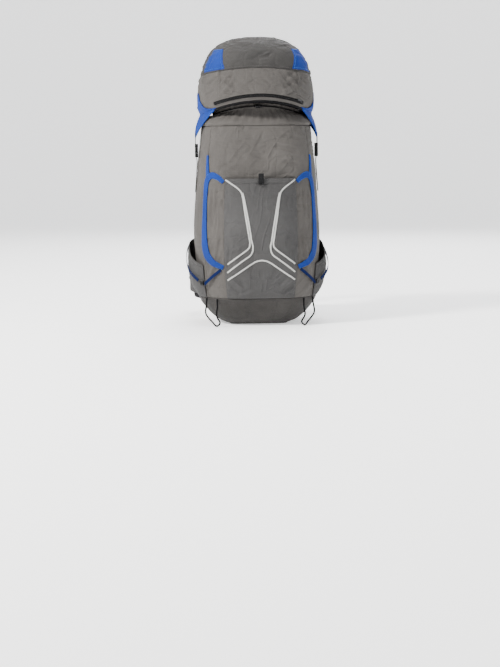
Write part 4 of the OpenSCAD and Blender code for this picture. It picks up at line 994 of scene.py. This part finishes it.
def swell(o, hold, cap=3.2, frames=14, pressure=4.0):
    """Cloth simulation that swells a pad between its held seams; how far each point moves is capped."""
    sc = bpy.context.scene
    me = o.data
    n = len(me.vertices)
    before = np.empty(n * 3)
    me.vertices.foreach_get("co", before)
    group = o.vertex_groups.new(name="held")
    hold = np.asarray(hold, float).ravel()
    for level in (1.0, 0.6, 0.3):
        ids = [int(i) for i in np.where(np.abs(hold - level) < 0.01)[0]]
        if ids:
            group.add(ids, level, "REPLACE")
    m = o.modifiers.new("Cloth", "CLOTH")
    st = m.settings
    st.quality = 4
    st.mass = 0.3
    st.tension_stiffness = st.compression_stiffness = 12
    st.shear_stiffness = 6
    st.bending_stiffness = 0.4
    st.use_pressure = True
    st.uniform_pressure_force = pressure
    st.vertex_group_mass = "held"
    st.pin_stiffness = 1.0
    st.effector_weights.gravity = 0.0
    m.collision_settings.use_collision = False
    m.point_cache.frame_start, m.point_cache.frame_end = 1, frames
    for f in range(1, frames + 1):
        sc.frame_set(f)
    ev = o.evaluated_get(bpy.context.evaluated_depsgraph_get())
    after = np.empty(n * 3)
    ev.data.vertices.foreach_get("co", after)
    o.modifiers.remove(m)
    o.vertex_groups.remove(group)
    sc.frame_set(1)
    move = (after - before).reshape(-1, 3)
    far = np.linalg.norm(move, axis=1, keepdims=True)
    move = move * np.minimum(1, cap / 1000 / np.maximum(far, 1e-9))
    me.vertices.foreach_set("co", (before.reshape(-1, 3) + move).ravel())
    me.update()
    print("swell", o.name, n, "moved mm", round(float(far.mean() * 1000), 2), round(float(far.max() * 1000), 2))


def round_edge(k, p=8):
    return (1 - np.abs(k) ** p) ** (1 / p)


def wing_height(a):
    t = np.clip((np.asarray(a, float) - 27) / (148 - 27), 0, 1)
    return WING_H * profile(np.array([[0, 0.86], [0.3, 1], [0.6, 0.92], [1, 0.55]]), t, 1)


def belt(a, off):
    r = np.radians(a)
    return stack((BELT_A + off) * np.sin(r), BELT_Y - (BELT_B + off) * np.cos(r), BELT_Z)


def hip_wing(side, name):
    a = np.linspace(27, 148, 130)
    k = np.sin(np.linspace(-1, 1, 37) * math.pi / 2)
    A, K = np.meshgrid(a, k, indexing="ij")
    ends = np.clip((a - 27) / 3.5, 0, 1)[:, None] * np.clip((148 - a) / 4.5, 0, 1)[:, None]
    ends = np.sqrt(np.clip(1 - (1 - ends) ** 2, 0, 1))
    h = wing_height(A) / 2 * (0.55 + 0.45 * ends)
    z = K * h + 6 * np.sin(np.radians(1.5 * (A - 27)))
    edge = round_edge(K, 5) * (0.35 + 0.65 * ends)
    quilt = -1.6 * bump(K - 0.42, 0.045) - 1.6 * bump(K + 0.42, 0.045)
    wr = 0.8 * noise(belt(A, 0) + stack(0, 0, z), (30, 30, 30), 71)
    outer = belt(A, (FOAM / 2 + 0.9 + wr * 0.5) * edge + quilt * 0.4)
    inner = belt(A, -(FOAM / 2 + 1.2) * edge - quilt + wr * 0.3)
    outer[..., 2] += z
    inner[..., 2] += z
    lines = seam_mask(bump(K - 0.42, 0.05), bump(K + 0.42, 0.05), 1.0 * (np.abs(K) > 0.985))
    flat_side = np.maximum(lines, 1.0 * ((A > 58) & (A < 122)))
    pad("hip_wing_pad_" + name, (outer, inner), M["spacer"], side, "hip_wing_" + name, (flat_side, lines))


def lumbar():
    a = np.linspace(-26.7, 26.7, 100)
    k = np.sin(np.linspace(-1, 1, 37) * math.pi / 2)
    A, K = np.meshgrid(a, k, indexing="ij")
    ends = np.sqrt(np.clip(1 - np.clip(1 - (26.7 - np.abs(a)) / 3, 0, 1) ** 2, 0, 1))[:, None]
    edge = round_edge(K, 5) * (0.4 + 0.6 * ends)
    quilt = 1.8 * bump(np.abs(A) - 9, 0.5) + 1.6 * bump(np.abs(K) - 0.5, 0.04)
    back = belt(A, (FOAM / 2 - 0.4) * edge)
    face = belt(A, -(FOAM / 2 + 1.0) * edge + quilt)
    for g in (back, face):
        g[..., 2] += 8 + K * (WING_H / 2 + 3)
    lines = seam_mask(bump(np.abs(A) - 9, 0.6), bump(np.abs(K) - 0.5, 0.05), 1.0 * (np.abs(K) > 0.985))
    pad("lumbar_pad_cloth", (back, face), M["spacer"], 1, "lumbar_pad", (1 + 0 * K, lines))


def yoke_pad():
    x = np.sin(np.linspace(-1, 1, 60) * math.pi / 2)
    k = np.sin(np.linspace(-1, 1, 37) * math.pi / 2)
    X, K = np.meshgrid(x, k, indexing="ij")
    edge = round_edge(K, 5) * round_edge(X, 9)
    quilt = 1.5 * bump((np.abs(X) - 0.45) * 84, 2.2)
    front = stack(X * 83.5, BACK_Y + 0.1 + FOAM / 2 * (1 - edge), 452 + K * 30.5 * round_edge(X, 6))
    face = stack(X * 83.5, BACK_Y + 0.1 + FOAM / 2 + (FOAM / 2 + 0.8) * edge - quilt, 452 + K * 30.5 * round_edge(X, 6))
    lines = seam_mask(bump((np.abs(X) - 0.45) * 84, 2.4), 1.0 * (np.abs(K) > 0.985), 1.0 * (np.abs(X) > 0.97))
    pad("harness_yoke_cloth", (front, face), M["spacer"], 1, "harness_yoke", (1 + 0 * K, lines))


STRAP = np.array([
    [46, BACK_Y + 7.5, 489], [51, BACK_Y + 21, 520], [60, BACK_Y + 58, 541], [68, BACK_Y + 108, 528], [78, BACK_Y + 158, 490],
    [86, CHEST_Y - 5, 446], [88, CHEST_Y, 426], [88, CHEST_Y, 391], [88, CHEST_Y, 356], [93, CHEST_Y - 7, 326],
    [102, CHEST_Y - 21, 294], [114, CHEST_Y - 42, 262]])
STRAP_SIDE = np.array([[1, 0, 0], [1, 0, 0], [1, 0.05, 0], [1, 0.1, 0], [1, 0.05, 0], [1, 0, 0], [1, 0, 0], [1, 0, 0], [1, 0, 0],
                       [1, -0.05, 0], [1, -0.1, 0], [1, -0.2, 0]], float)
STRAP_W = np.array([0.85, 0.95, 1, 1, 1, 1, 1, 1, 0.96, 0.88, 0.78, 0.66]) * 60


def shoulder(side, name):
    whole = resample(np.concatenate([spline(STRAP, 300), spline(STRAP_SIDE, 300), spline(STRAP_W, 300)[:, None]], 1), 3.0)
    p, sd, w = whole[:, :3], whole[:, 3:6], whole[:, 6]
    for _ in range(24):
        p[1:-1] = (p[:-2] + 2 * p[1:-1] + p[2:]) / 4
    t = unit(np.gradient(p, axis=0))
    sd = unit(sd - t * np.sum(sd * t, -1, keepdims=True))
    n = np.cross(t, sd)
    n = n * np.sign((n * np.array([0, 1, 0])).sum() or 1)
    k = np.sin(np.linspace(-1, 1, 37) * math.pi / 2)
    L_ = len(p)
    i = np.arange(L_)
    ends = np.sqrt(np.clip(1 - np.clip(1 - np.minimum(i, L_ - 1 - i) / 4.0, 0, 1) ** 2, 0, 1))
    edge = round_edge(k, 5)[None, :] * (0.3 + 0.7 * ends[:, None])
    quilt = 1.7 * bump(np.abs(k) - 0.62, 0.05)[None, :] * (ends[:, None])
    wr = 0.5 * noise(p[:, None] + 0 * k[None, :, None] + sd[:, None] * k[None, :, None] * 30, (26, 26, 26), 81)
    up = (FOAM / 2 - 0.2) * edge - quilt * 0.5 + wr * 0.15
    dn = -(FOAM / 2 + 0.5) * edge + quilt * 0.4
    base = p[:, None] + sd[:, None] * (k[None, :, None] * (w[:, None, None] / 2 - 0.5))
    outer = base + n[:, None] * up[..., None]
    inner = base + n[:, None] * dn[..., None]
    K = k[None, :] + 0 * i[:, None]
    lines = seam_mask(bump(np.abs(K) - 0.62, 0.06), 1.0 * (np.abs(K) > 0.985))
    track = 1 + 0 * K
    pad("shoulder_pad_" + name, (outer, inner), M["spacer"], side, "shoulder_strap_" + name, (track, lines), cap=2.2)
    edge_path = []
    for s in (-1, 1):
        e = p + sd * (s * (w[:, None] / 2 - 0.3))
        q = e if side > 0 else flip_x(e)
        done(tube("shoulder_binding_%s_%d" % (name, s + 1), q, 3.0, M["web"], step=4), "bag")
    # a webbing track runs down the outside of each strap, above and below the sternum rails
    for k2, (i0, i1) in enumerate(((int(L_ * 0.10), int(L_ * 0.60)), (int(L_ * 0.835), L_ - 6))):
        q = (p + n * (FOAM / 2 + 0.9))[i0:i1]
        s_ = sd[i0:i1]
        if side < 0:
            q, s_ = flip_x(q), flip_x(s_)
        done(ribbon("shoulder_track_%s_%d" % (name, k2), q, s_, 15, M["web"], thick=1.2), "bag")
    return p


lumbar()
yoke_pad()
for side, name in ((1, "right"), (-1, "left")):
    hip_wing(side, name)
    shoulder(side, name)

END = STRAP[-1]
FOOT = np.array([FRAME_W / 2 - 4, BACK_Y + 0.8 + 0.3, 130])
LDIR = unit(FOOT - END)
LSIDE = np.array([1, -0.2, 0]) - LDIR * np.dot([1, -0.2, 0], LDIR)
LSIDE = unit(LSIDE)
LSTART = END + LDIR * 19
low = spline(np.array([LSTART, LSTART + (FOOT - LSTART) * 0.33 + (2, 1, -1), LSTART + (FOOT - LSTART) * 0.7 + (2, 2, -1), FOOT]), 60)
ks = np.linspace(0, 1, 61)[:, None]
lside = LSIDE * (1 - ks) + np.array([1, 0, 0]) * ks
LT, LL = np.array([50, BACK_Y + 1.1, 580]), np.array([65, BACK_Y + 92, 547])
for side, name in ((1, "right"), (-1, "left")):
    mir = (lambda p: np.asarray(p, float)) if side > 0 else flip_x
    o = ribbon("lower_web_" + name, mir(low), mir(lside), 16, M["web"])
    done(o, "bag", "shoulder_webbing" if side > 0 else None)
    o = ribbon("load_lifter_web_" + name, mir(np.array([LT, (LT + LL) / 2, LL])), mir((1, 0, 0)), 15, M["web"])
    done(o, "bag")

HIP_Y, HIP_Z = BELT_Y + BELT_B + 6, BELT_Z + 3
outer_pts = [belt(a, FOAM / 2 + 2.3) + (0, 0, 3) for a in range(121, 152, 5)]
right = outer_pts + [np.array([x, HIP_Y + l, HIP_Z]) for x, l in ((70, 3), (60, 3.3), (40, 3.3), (21, 3.3))]
left = outer_pts + [np.array([x, HIP_Y + l, HIP_Z]) for x, l in ((66, 0), (48, 0), (29.3, 0))]
done(ribbon("hip_web_right", spline(np.array(right), 120), (0, 0, 1), 20, M["web"]), "bag", "hip_webbing")
done(ribbon("hip_web_left", flip_x(spline(np.array(left), 120)), (0, 0, 1), 20, M["web"]), "bag")


def hip_pocket(side, name):
    a = np.linspace(62, 118, 90)
    k = np.linspace(-1, 1, 61)
    A, K = np.meshgrid(a, k, indexing="ij")
    face_x = BELT_A + FOAM / 2 + 12
    bulge = 1.5 + 17 * np.maximum(np.cos(np.radians((A - 90) * 3.2)), 0) ** 0.5 * (1 - np.abs(K) ** 4)
    q = belt(A, FOAM / 2 + 1.4 + bulge)
    q[..., 0] = np.minimum(q[..., 0], face_x)
    q[..., 2] += 30 * K + 2
    n = grid_normals(q)
    flat_zone = bump(K - 0.43, 0.12) * (np.abs(q[..., 1] - BELT_Y) < 34)
    d = (0.8 * noise(q, (24, 24, 24), 91 + side) + 1.0 * crease(q, (26, 26, 22), 0.35, 93 + side)) * (1 - flat_zone) * (bulge > 6)
    d = np.clip(d, -2, 0.2)
    sign = -1 if n[45, 30, 0] < 0 else 1
    q = q + n * (sign * d)[..., None]
    if side < 0:
        q = flip_x(q)
    nn = grid_normals(q)
    o = cloth("hip_pocket_cloth_" + name, q, M["cool"], thick=1.4, flip=bool(nn[45, 30, 0] * side < 0))
    done(o, "bag", "hip_pocket_" + name)
    y = np.linspace(BELT_Y - 32, BELT_Y + 32, 60)
    p = stack(side * (face_x + 0.75), y, BELT_Z + 15)
    done(ribbon("hip_zip_tape_" + name, p, (0, 0, 1), 9, M["tape"], thick=0.9, kind="tape"), "bag")
    coil(p + np.array([side * 0.4, 0, 0]), np.array([side, 0, 0]), "hip_zip_coil_" + name, "bag")


def coil(p, normal, name, body, pitch=1.6, width=2.4):
    """The teeth of a closed coil zip: small ridges across a line."""
    p = resample(np.asarray(p, float), pitch)
    t = unit(np.gradient(p, axis=0))
    nrm = np.broadcast_to(np.asarray(normal, float), p.shape)
    s = unit(np.cross(t, nrm))
    V, F = [], []
    for k in range(len(p)):
        base = len(V)
        for (c, h) in ((-1, 0), (-0.8, 0.7), (0, 0.95), (0.8, 0.7), (1, 0)):
            for e in (-0.36, 0.36):
                V.append(p[k] + s[k] * c * width / 2 + nrm[k] * h * 0.8 + t[k] * (e * pitch + c * 0.25))
        for j in range(4):
            b = base + 2 * j
            F.append([b, b + 1, b + 3, b + 2])
        F.append([base + 0, base + 2, base + 4, base + 6, base + 8])
        F.append([base + 9, base + 7, base + 5, base + 3, base + 1])
        F.append([base + 1, base, base + 8, base + 9])
    return done(link(name, np.array(V), F, M["plastic"]), body)


for side, name in ((1, "right"), (-1, "left")):
    hip_pocket(side, name)

# ------------------------------------------------------------------ lid
RIM = -22.0


def lid_disp(p, E, A):
    front = np.clip(-p[..., 1] / 50, 0, 1)
    d = 2.6 * noise(p, (90, 90, 70), 101) + 1.0 * noise(p, (36, 36, 30), 103)
    d = d + 1.6 * crease(p, (64, 64, 34), 0.30, 105) + 0.9 * crease(p, (30, 30, 40), 0.22, 107)
    rows = [((104, 700), (103, 622), 3.2, 3.4), ((102, 690), (66, 668), 4.5, 2.6), ((100, 668), (58, 640), 4.5, 2.8),
            ((106, 676), (140, 654), 4.5, 2.8), ((106, 650), (146, 622), 4.5, 2.6), ((100, 640), (70, 622), 4, 2.2),
            ((60, 622), (20, 632), 4.5, 1.8)]
    d = d + front * mirrored_folds(p, rows)
    d = d + front * (fold_line(p, (-60, 760), (30, 748), 7, 1.8) + fold_line(p, (20, 775), (78, 752), 6, 1.6))
    side = np.abs(p[..., 0])
    q = stack(side, p[..., 1], p[..., 2] + np.where(p[..., 0] > 0, 0.0, 23.0))
    d = d + front * 6.0 * folds(q, -52, 9, 80, 251) * near_line(p, 92, 655, 42, 40) * np.where(p[..., 0] > 0, 1.0, 0.7)
    d = d + front * 4.2 * folds(q, 78, 9, 70, 255) * near_line(p, 104, 655, 18, 44)
    d = d + 2.4 * folds(q, 20, 13, 80, 259)
    return np.clip(d, -5.5, 5)


def lid_surface(e, a, lift=0.0):
    e, a = np.broadcast_arrays(np.asarray(e, float), np.asarray(a, float))
    p = lid(e, a, 0.0)
    h = 0.5
    du = lid(e, a + h) - lid(e, a - h)
    dv = lid(np.minimum(e + h, 89), a) - lid(np.minimum(e - h, 88), a)
    n = unit(np.cross(du, dv))
    out = stack(p[..., 0], p[..., 1], p[..., 2] - LID_MID + 40)
    n = n * np.where(np.sum(n * out, -1, keepdims=True) < 0, -1, 1)
    zip_zone = bump(e + 12, 4.5) * np.clip((50 - np.abs(((a - 270) + 180) % 360 - 180)) / 6, 0, 1)
    ease = (1 - 0.9 * bump(e - RIM, 4)) * (1 - zip_zone) * np.clip((88 - e) / 14, 0, 1)
    seam = -1.6 * bump((e - 16) * 2.6, 2.0) * np.clip((95 - np.abs(((a - 270) + 180) % 360 - 180)) / 8, 0, 1)
    d = (lid_disp(p, e, a) + seam) * ease
    # the cloth lies flatter under the side wings
    turn = np.minimum(np.abs(((a + 9) + 180) % 360 - 180), np.abs(((a - 189) + 180) % 360 - 180))
    under = np.clip((50 - turn) / 7, 0, 1) * np.clip((12 - e) / 6, 0, 1)
    d = d * (1 - under) + np.minimum(d, 0.2) * under
    return p + n * (d + lift)[..., None] if np.ndim(lift) else p + n * (d + lift)[..., None]


def lid_cloth():
    na = 520
    a = np.linspace(0, 360, na, endpoint=False)
    e1 = np.linspace(RIM, 16, 84)
    e2 = 16 + (88.5 - 16) * np.linspace(0, 1, 90) ** 1.0
    A, E = np.meshgrid(a, e1, indexing="ij")
    done(cloth("lid_band_cloth", lid_surface(E, A), M["body"], wrap=True), "lid", "lid_shell")
    A, E = np.meshgrid(a, e2[::-1], indexing="ij")
    p = lid_surface(E, A)
    # the top panel takes the darker lid top cloth, which is painted shade for the upward-facing top
    done(cloth("lid_top_panel", p, M["top"], wrap=True, cap=0, flip=True), "lid")
    lines = []
    for e in (14.0, 18.0):
        lines.append(line_on(lambda ee, aa: lid_surface(ee, aa), [(e, aa) for aa in np.linspace(0, 359, 340)], 0.15))
    for s in (-1, 1):
        for k in (-2.2, 2.2):
            lines.append(line_on(lambda ee, aa: lid_surface(ee, aa), [(ee, 270 + s * 38.5 + k * 0.45) for ee in np.linspace(-8, 13, 40)], 0.15))
    fixed = []
    for p, n in lines:
        out_ = np.sum(n * (p - np.array([0, 0, 640])), -1, keepdims=True)
        fixed.append((p, n * np.where(out_ < 0, -1, 1)))
    done(stitches("lid_stitches", fixed, M["thread"]), "lid")


def lid_underside():
    na = 160
    a = np.linspace(0, 360, na, endpoint=False)
    s = np.linspace(0.03, 1, 24)
    A, S = np.meshgrid(a, s, indexing="ij")
    q = lid(RIM, A, -1.9)
    x, y = q[..., 0] * S, q[..., 1] * S
    z = LID_EDGE + 1 - LID_ARCH * (x / (LID_W / 2)) ** 2 + 1.6 - 1.2 * np.abs(noise(stack(x, y, 0 * x), (60, 60, 60), 111)) * (1 - S**6)
    done(cloth("lid_lining", stack(x, y, z), M["lining"], wrap=True, cap=0, thick=1.4), "lid", "lid_underside")


def lid_patch(side):
    t = np.linspace(0, 1, 60)
    s = np.linspace(0, 1, 50)
    S, T = np.meshgrid(s, t, indexing="ij")
    E = 17.5 + (44 - 17.5) * T
    a_in = 58 + (46 - 58) * T
    a_out = 27 + (25 - 27) * T
    A = -(a_out + (a_in - a_out) * S)
    rim = np.minimum(np.minimum(S, 1 - S) * 40, np.minimum(T, 1 - T) * 50)
    lift = 0.5 + 0.9 * (1 - bump(rim, 2.2))
    p = lid_surface(E, A if side > 0 else 180 - A, lift)
    n = grid_normals(p)
    flip = bool((n * (p - np.array([0, 0, 640]))).sum() < 0)
    o = cloth("lid_patch_" + ("right" if side > 0 else "left"), p, M["blue"], thick=1.2, flip=flip)
    done(o, "lid", "lid_corner_patches" if side > 0 else None)
    lines = []
    for ss, tt in (((0.06, 0.06), (0.03, 0.97)), ((0.94, 0.94), (0.03, 0.97)), ((0.03, 0.97), (0.05, 0.05)), ((0.03, 0.97), (0.95, 0.95))):
        k = np.linspace(0, 1, 40)
        S_, T_ = ss[0] + (ss[1] - ss[0]) * k, tt[0] + (tt[1] - tt[0]) * k
        E_ = 17.5 + 26.5 * T_
        A_ = -((27 - 2 * T_) + ((58 - 12 * T_) - (27 - 2 * T_)) * S_)
        q = lid_surface(E_, A_ if side > 0 else 180 - A_, 1.5)
        lines.append((q, unit(q - np.array([0, 0, 640]))))
    done(stitches("lid_patch_stitches_" + ("right" if side > 0 else "left"), lines, M["thread_blue"]), "lid")


lid_cloth()
lid_underside()
for side in (1, -1):
    lid_patch(side)

ZE, ZS = -12.0, 44.0
ZA = np.linspace(270 - ZS, 270 + ZS, 140)


def zip_line(e, lift):
    p = lid(e, ZA, lift)
    n = unit(lid(e, ZA, lift + 2) - p)
    return p, n


p, n = zip_line(ZE, 0.9)
t = unit(np.gradient(p, axis=0))
done(ribbon("lid_zip_tape", p, np.cross(n, t), 9, M["tape"], thick=0.9, kind="tape"), "lid", "lid_zipper")
p, n = zip_line(ZE, 1.3)
whole = resample(np.concatenate([p, n], 1), 1.6)


def lid_coil():
    V, F = [], []
    q, m = whole[:, :3], unit(whole[:, 3:])
    t = unit(np.gradient(q, axis=0))
    s = np.cross(m, t)
    for k in range(len(q)):
        base = len(V)
        for (c, h) in ((-1, 0), (-0.8, 0.7), (0, 0.95), (0.8, 0.7), (1, 0)):
            for e in (-0.36, 0.36):
                V.append(q[k] + s[k] * c * 1.4 + m[k] * h * 0.8 + t[k] * (e * 1.6 + c * 0.25))
        for j in range(4):
            b = base + 2 * j
            F.append([b, b + 1, b + 3, b + 2])
        F += [[base, base + 2, base + 4, base + 6, base + 8], [base + 9, base + 7, base + 5, base + 3, base + 1], [base + 1, base, base + 8, base + 9]]
    done(link("lid_zip_coil", np.array(V), F, M["plastic"]), "lid")


lid_coil()
# black tube round the lid's foot under the zip: painted shadow standing in for the dark shadow line where the lid meets
# the bag
ra = np.linspace(0, 360, 300)
p = lid(RIM + 0.5, ra, 0.6)
done(tube("lid_foot_painted_shadow", p[:-1], 6.4, M["web"], closed=True, step=4), "lid")

TIP = np.array([LB_X + 1.4, LB_Y, SOCK_Z + 29])


def wing(side, name):
    k = np.linspace(-1, 1, 61)
    t = np.linspace(0, 1, 70)
    K, T = np.meshgrid(k, t, indexing="ij")
    t1 = np.clip(T * 2, 0, 1)
    off = 2.4
    edge_a = -9 + 34 * K * (1 + 0.3 * np.minimum(T, 0.5))
    edge_p = lid(RIM + 2, edge_a, off)
    tip = stack(TIP[0] + off - 1.4 + 0 * K, TIP[1] + K * 9, TIP[2] + 0 * K)
    low = tip * (1 - t1[..., None]) + edge_p * t1[..., None]
    low[..., 0] += 4 * np.sin(np.radians(360 * np.minimum(T, 0.5)))
    tt = np.clip(T * 2 - 1, 0, 1)
    e = (RIM + 2) * (1 - tt) + (4 - 22 * K * K) * tt
    spread = 1.3 - 0.6 * np.maximum(T, 0.5) + 0.3 * (1 - np.maximum(T, 0.5))
    high = lid(e, -9 + 34 * K * spread, off)
    blendp = np.where((T < 0.5)[..., None], low, high)
    # smooth the meeting line a little
    q = blendp.copy()
    for _ in range(6):
        q[:, 1:-1] = (q[:, :-2] + 2 * q[:, 1:-1] + q[:, 2:]) / 4
    n = grid_normals(q)
    if (n[..., 0].mean()) < 0:
        n = -n
    d = 1.6 * np.sin(K * 5 + 0.6) * (1 - T) * bump(K, 0.8) + 0.9 * noise(q, (26, 30, 30), 121 + side) + 0.8 * crease(q, (24, 30, 26), 0.35, 123)
    rim = np.minimum(1 - np.abs(K), 1.0) * 30
    d = np.clip(d, -1.2, 1.6) * (1 - bump(rim, 4)) - 0.5 * bump(rim, 1.6)
    q = q + n * d[..., None]
    if side < 0:
        q = flip_x(q)
    m = grid_normals(q)
    o = cloth("lid_wing_cloth_" + name, q, M["blue"], thick=1.3, flip=bool(m[..., 0].mean() * side < 0))
    done(o, "lid", "lid_wing_" + name)
    lines = []
    for kk in (3, 57):
        l, mm_ = q[kk], m[kk] * (1 if m[..., 0].mean() * side > 0 else -1)
        lines.append((l + mm_ * 0.15, mm_))
    done(stitches("lid_wing_stitches_" + name, lines, M["thread_blue"]), "lid")
    px = side * (LB_X + 2.5)
    done(ribbon("lid_wing_web_" + name, np.array([[px, LB_Y, SOCK_Z + 0.8], [px, LB_Y, SOCK_Z + 20], [px, LB_Y, SOCK_Z + 40]]), (0, 1, 0), 15, M["web"]), "lid")


for side, name in ((1, "right"), (-1, "left")):
    wing(side, name)
    px = side * (FRAME_W / 2 - 14)
    pts = [(px, PIVOT[1], PIVOT[2] + 2.9), (px, PIVOT[1], PIVOT[2] + 60), (px, PIVOT[1] - 2, LID_EDGE - 12),
           (px, LID_REAR + 8, LID_EDGE - 2), (px, LID_REAR - 1, LID_EDGE - 4)]
    o = ribbon("lid_rear_web_" + name, spline(np.array(pts, float), 80), (1, 0, 0), 15, M["web"])
    done(o, "lid")
    o = ribbon("lid_rear_loop_" + name, np.array([[px, PIVOT[1] + 3.2 * math.sin(q), PIVOT[2] - 3.2 * math.cos(q)] for q in np.linspace(-2.9, 2.9, 40)]),
               (1, 0, 0), 15, M["web"], thick=1.2, step=1)
    done(o, "lid", "lid_rear_straps" if side > 0 else None)

# ------------------------------------------------------------------ hard parts keep their CAD shape
HARD = {
    "plastic": ["collar_cord_lock", "pocket_clip_socket", "pocket_clip_tongue", "compression_buckle_left", "compression_buckle_right",
                "lid_strap_anchors", "lid_buckle_socket_left", "lid_buckle_socket_right", "lid_buckle_tongue_left", "lid_buckle_tongue_right",
                "shoulder_ladderlocks", "sternum_rails", "sternum_tongue", "hip_buckle_socket", "hip_buckle_tongue", "sternum_strap", "load_lifters"],
    "zipmetal": ["lid_zip_slider", "hip_zip_slider_left", "hip_zip_slider_right"],
    "alu": ["frame_rod", "crossbar_lower", "crossbar_upper"],
    "base": ["base_patch"],
}
for key, names in HARD.items():
    for nm in names:
        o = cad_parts[nm]
        o = o if hasattr(o, "data") else bpy.data.objects[nm]
        for s in range(max(len(o.data.materials), 0)):
            o.data.materials[s] = M[key]
        if not o.data.materials:
            o.data.materials.append(M[key])

# ------------------------------------------------------------------ stage, light
def stage():
    """A pale round floor that curves up into a low wall all around."""
    rows = [(0.02, 0.0), (2.0, 0.0), (6.4, 0.0)]
    rows += [(6.4 + 2.6 * math.sin(t), 2.6 - 2.6 * math.cos(t)) for t in np.linspace(0.04, math.pi / 2, 24)] + [(9.0, 4.2)]
    n = 96
    V = [(1000 * r * math.cos(2 * math.pi * k / n), 1000 * r * math.sin(2 * math.pi * k / n), 1000 * z) for r, z in rows for k in range(n)]
    F = [list(range(n))]
    for j in range(len(rows) - 1):
        for k in range(n):
            q = (k + 1) % n
            F.append([j * n + k, j * n + n + k, j * n + n + q, j * n + q])
    m, nt, b = node_mat("pale_floor")
    b.inputs["Base Color"].default_value = (0.92, 0.92, 0.915, 1)
    b.inputs["Roughness"].default_value = 0.9
    b.inputs["Emission Color"].default_value = (1, 1, 1, 1)
    b.inputs["Emission Strength"].default_value = 0.55
    o = link("floor", np.array(V), F, m)


stage()


def light(name, loc, target, size, power, color=(1, 1, 1)):
    d = bpy.data.lights.new(name, "AREA")
    d.shape = "DISK"
    d.size, d.energy, d.color = size, power, color
    o = bpy.data.objects.new(name, d)
    bpy.context.scene.collection.objects.link(o)
    o.location = loc
    o.rotation_euler = (Vector(target) - Vector(loc)).to_track_quat("-Z", "Y").to_euler()


light("key", (-3.0, -2.1, 3.1), (0, 0, 0.45), 0.9, 470, (1, 0.985, 0.96))
light("fill", (3.2, -2.6, 1.8), (0, 0, 0.4), 2.6, 30, (0.95, 0.98, 1))
light("top", (0.2, 0.6, 3.8), (0, 0, 0.5), 2.4, 150)
light("back", (0.8, 3.4, 2.4), (0, 0, 0.5), 2.4, 110)
world = bpy.data.worlds.new("soft")
world.use_nodes = True
world.node_tree.nodes["Background"].inputs[0].default_value = (0.93, 0.95, 1.0, 1)
world.node_tree.nodes["Background"].inputs[1].default_value = 0.75
bpy.context.scene.world = world
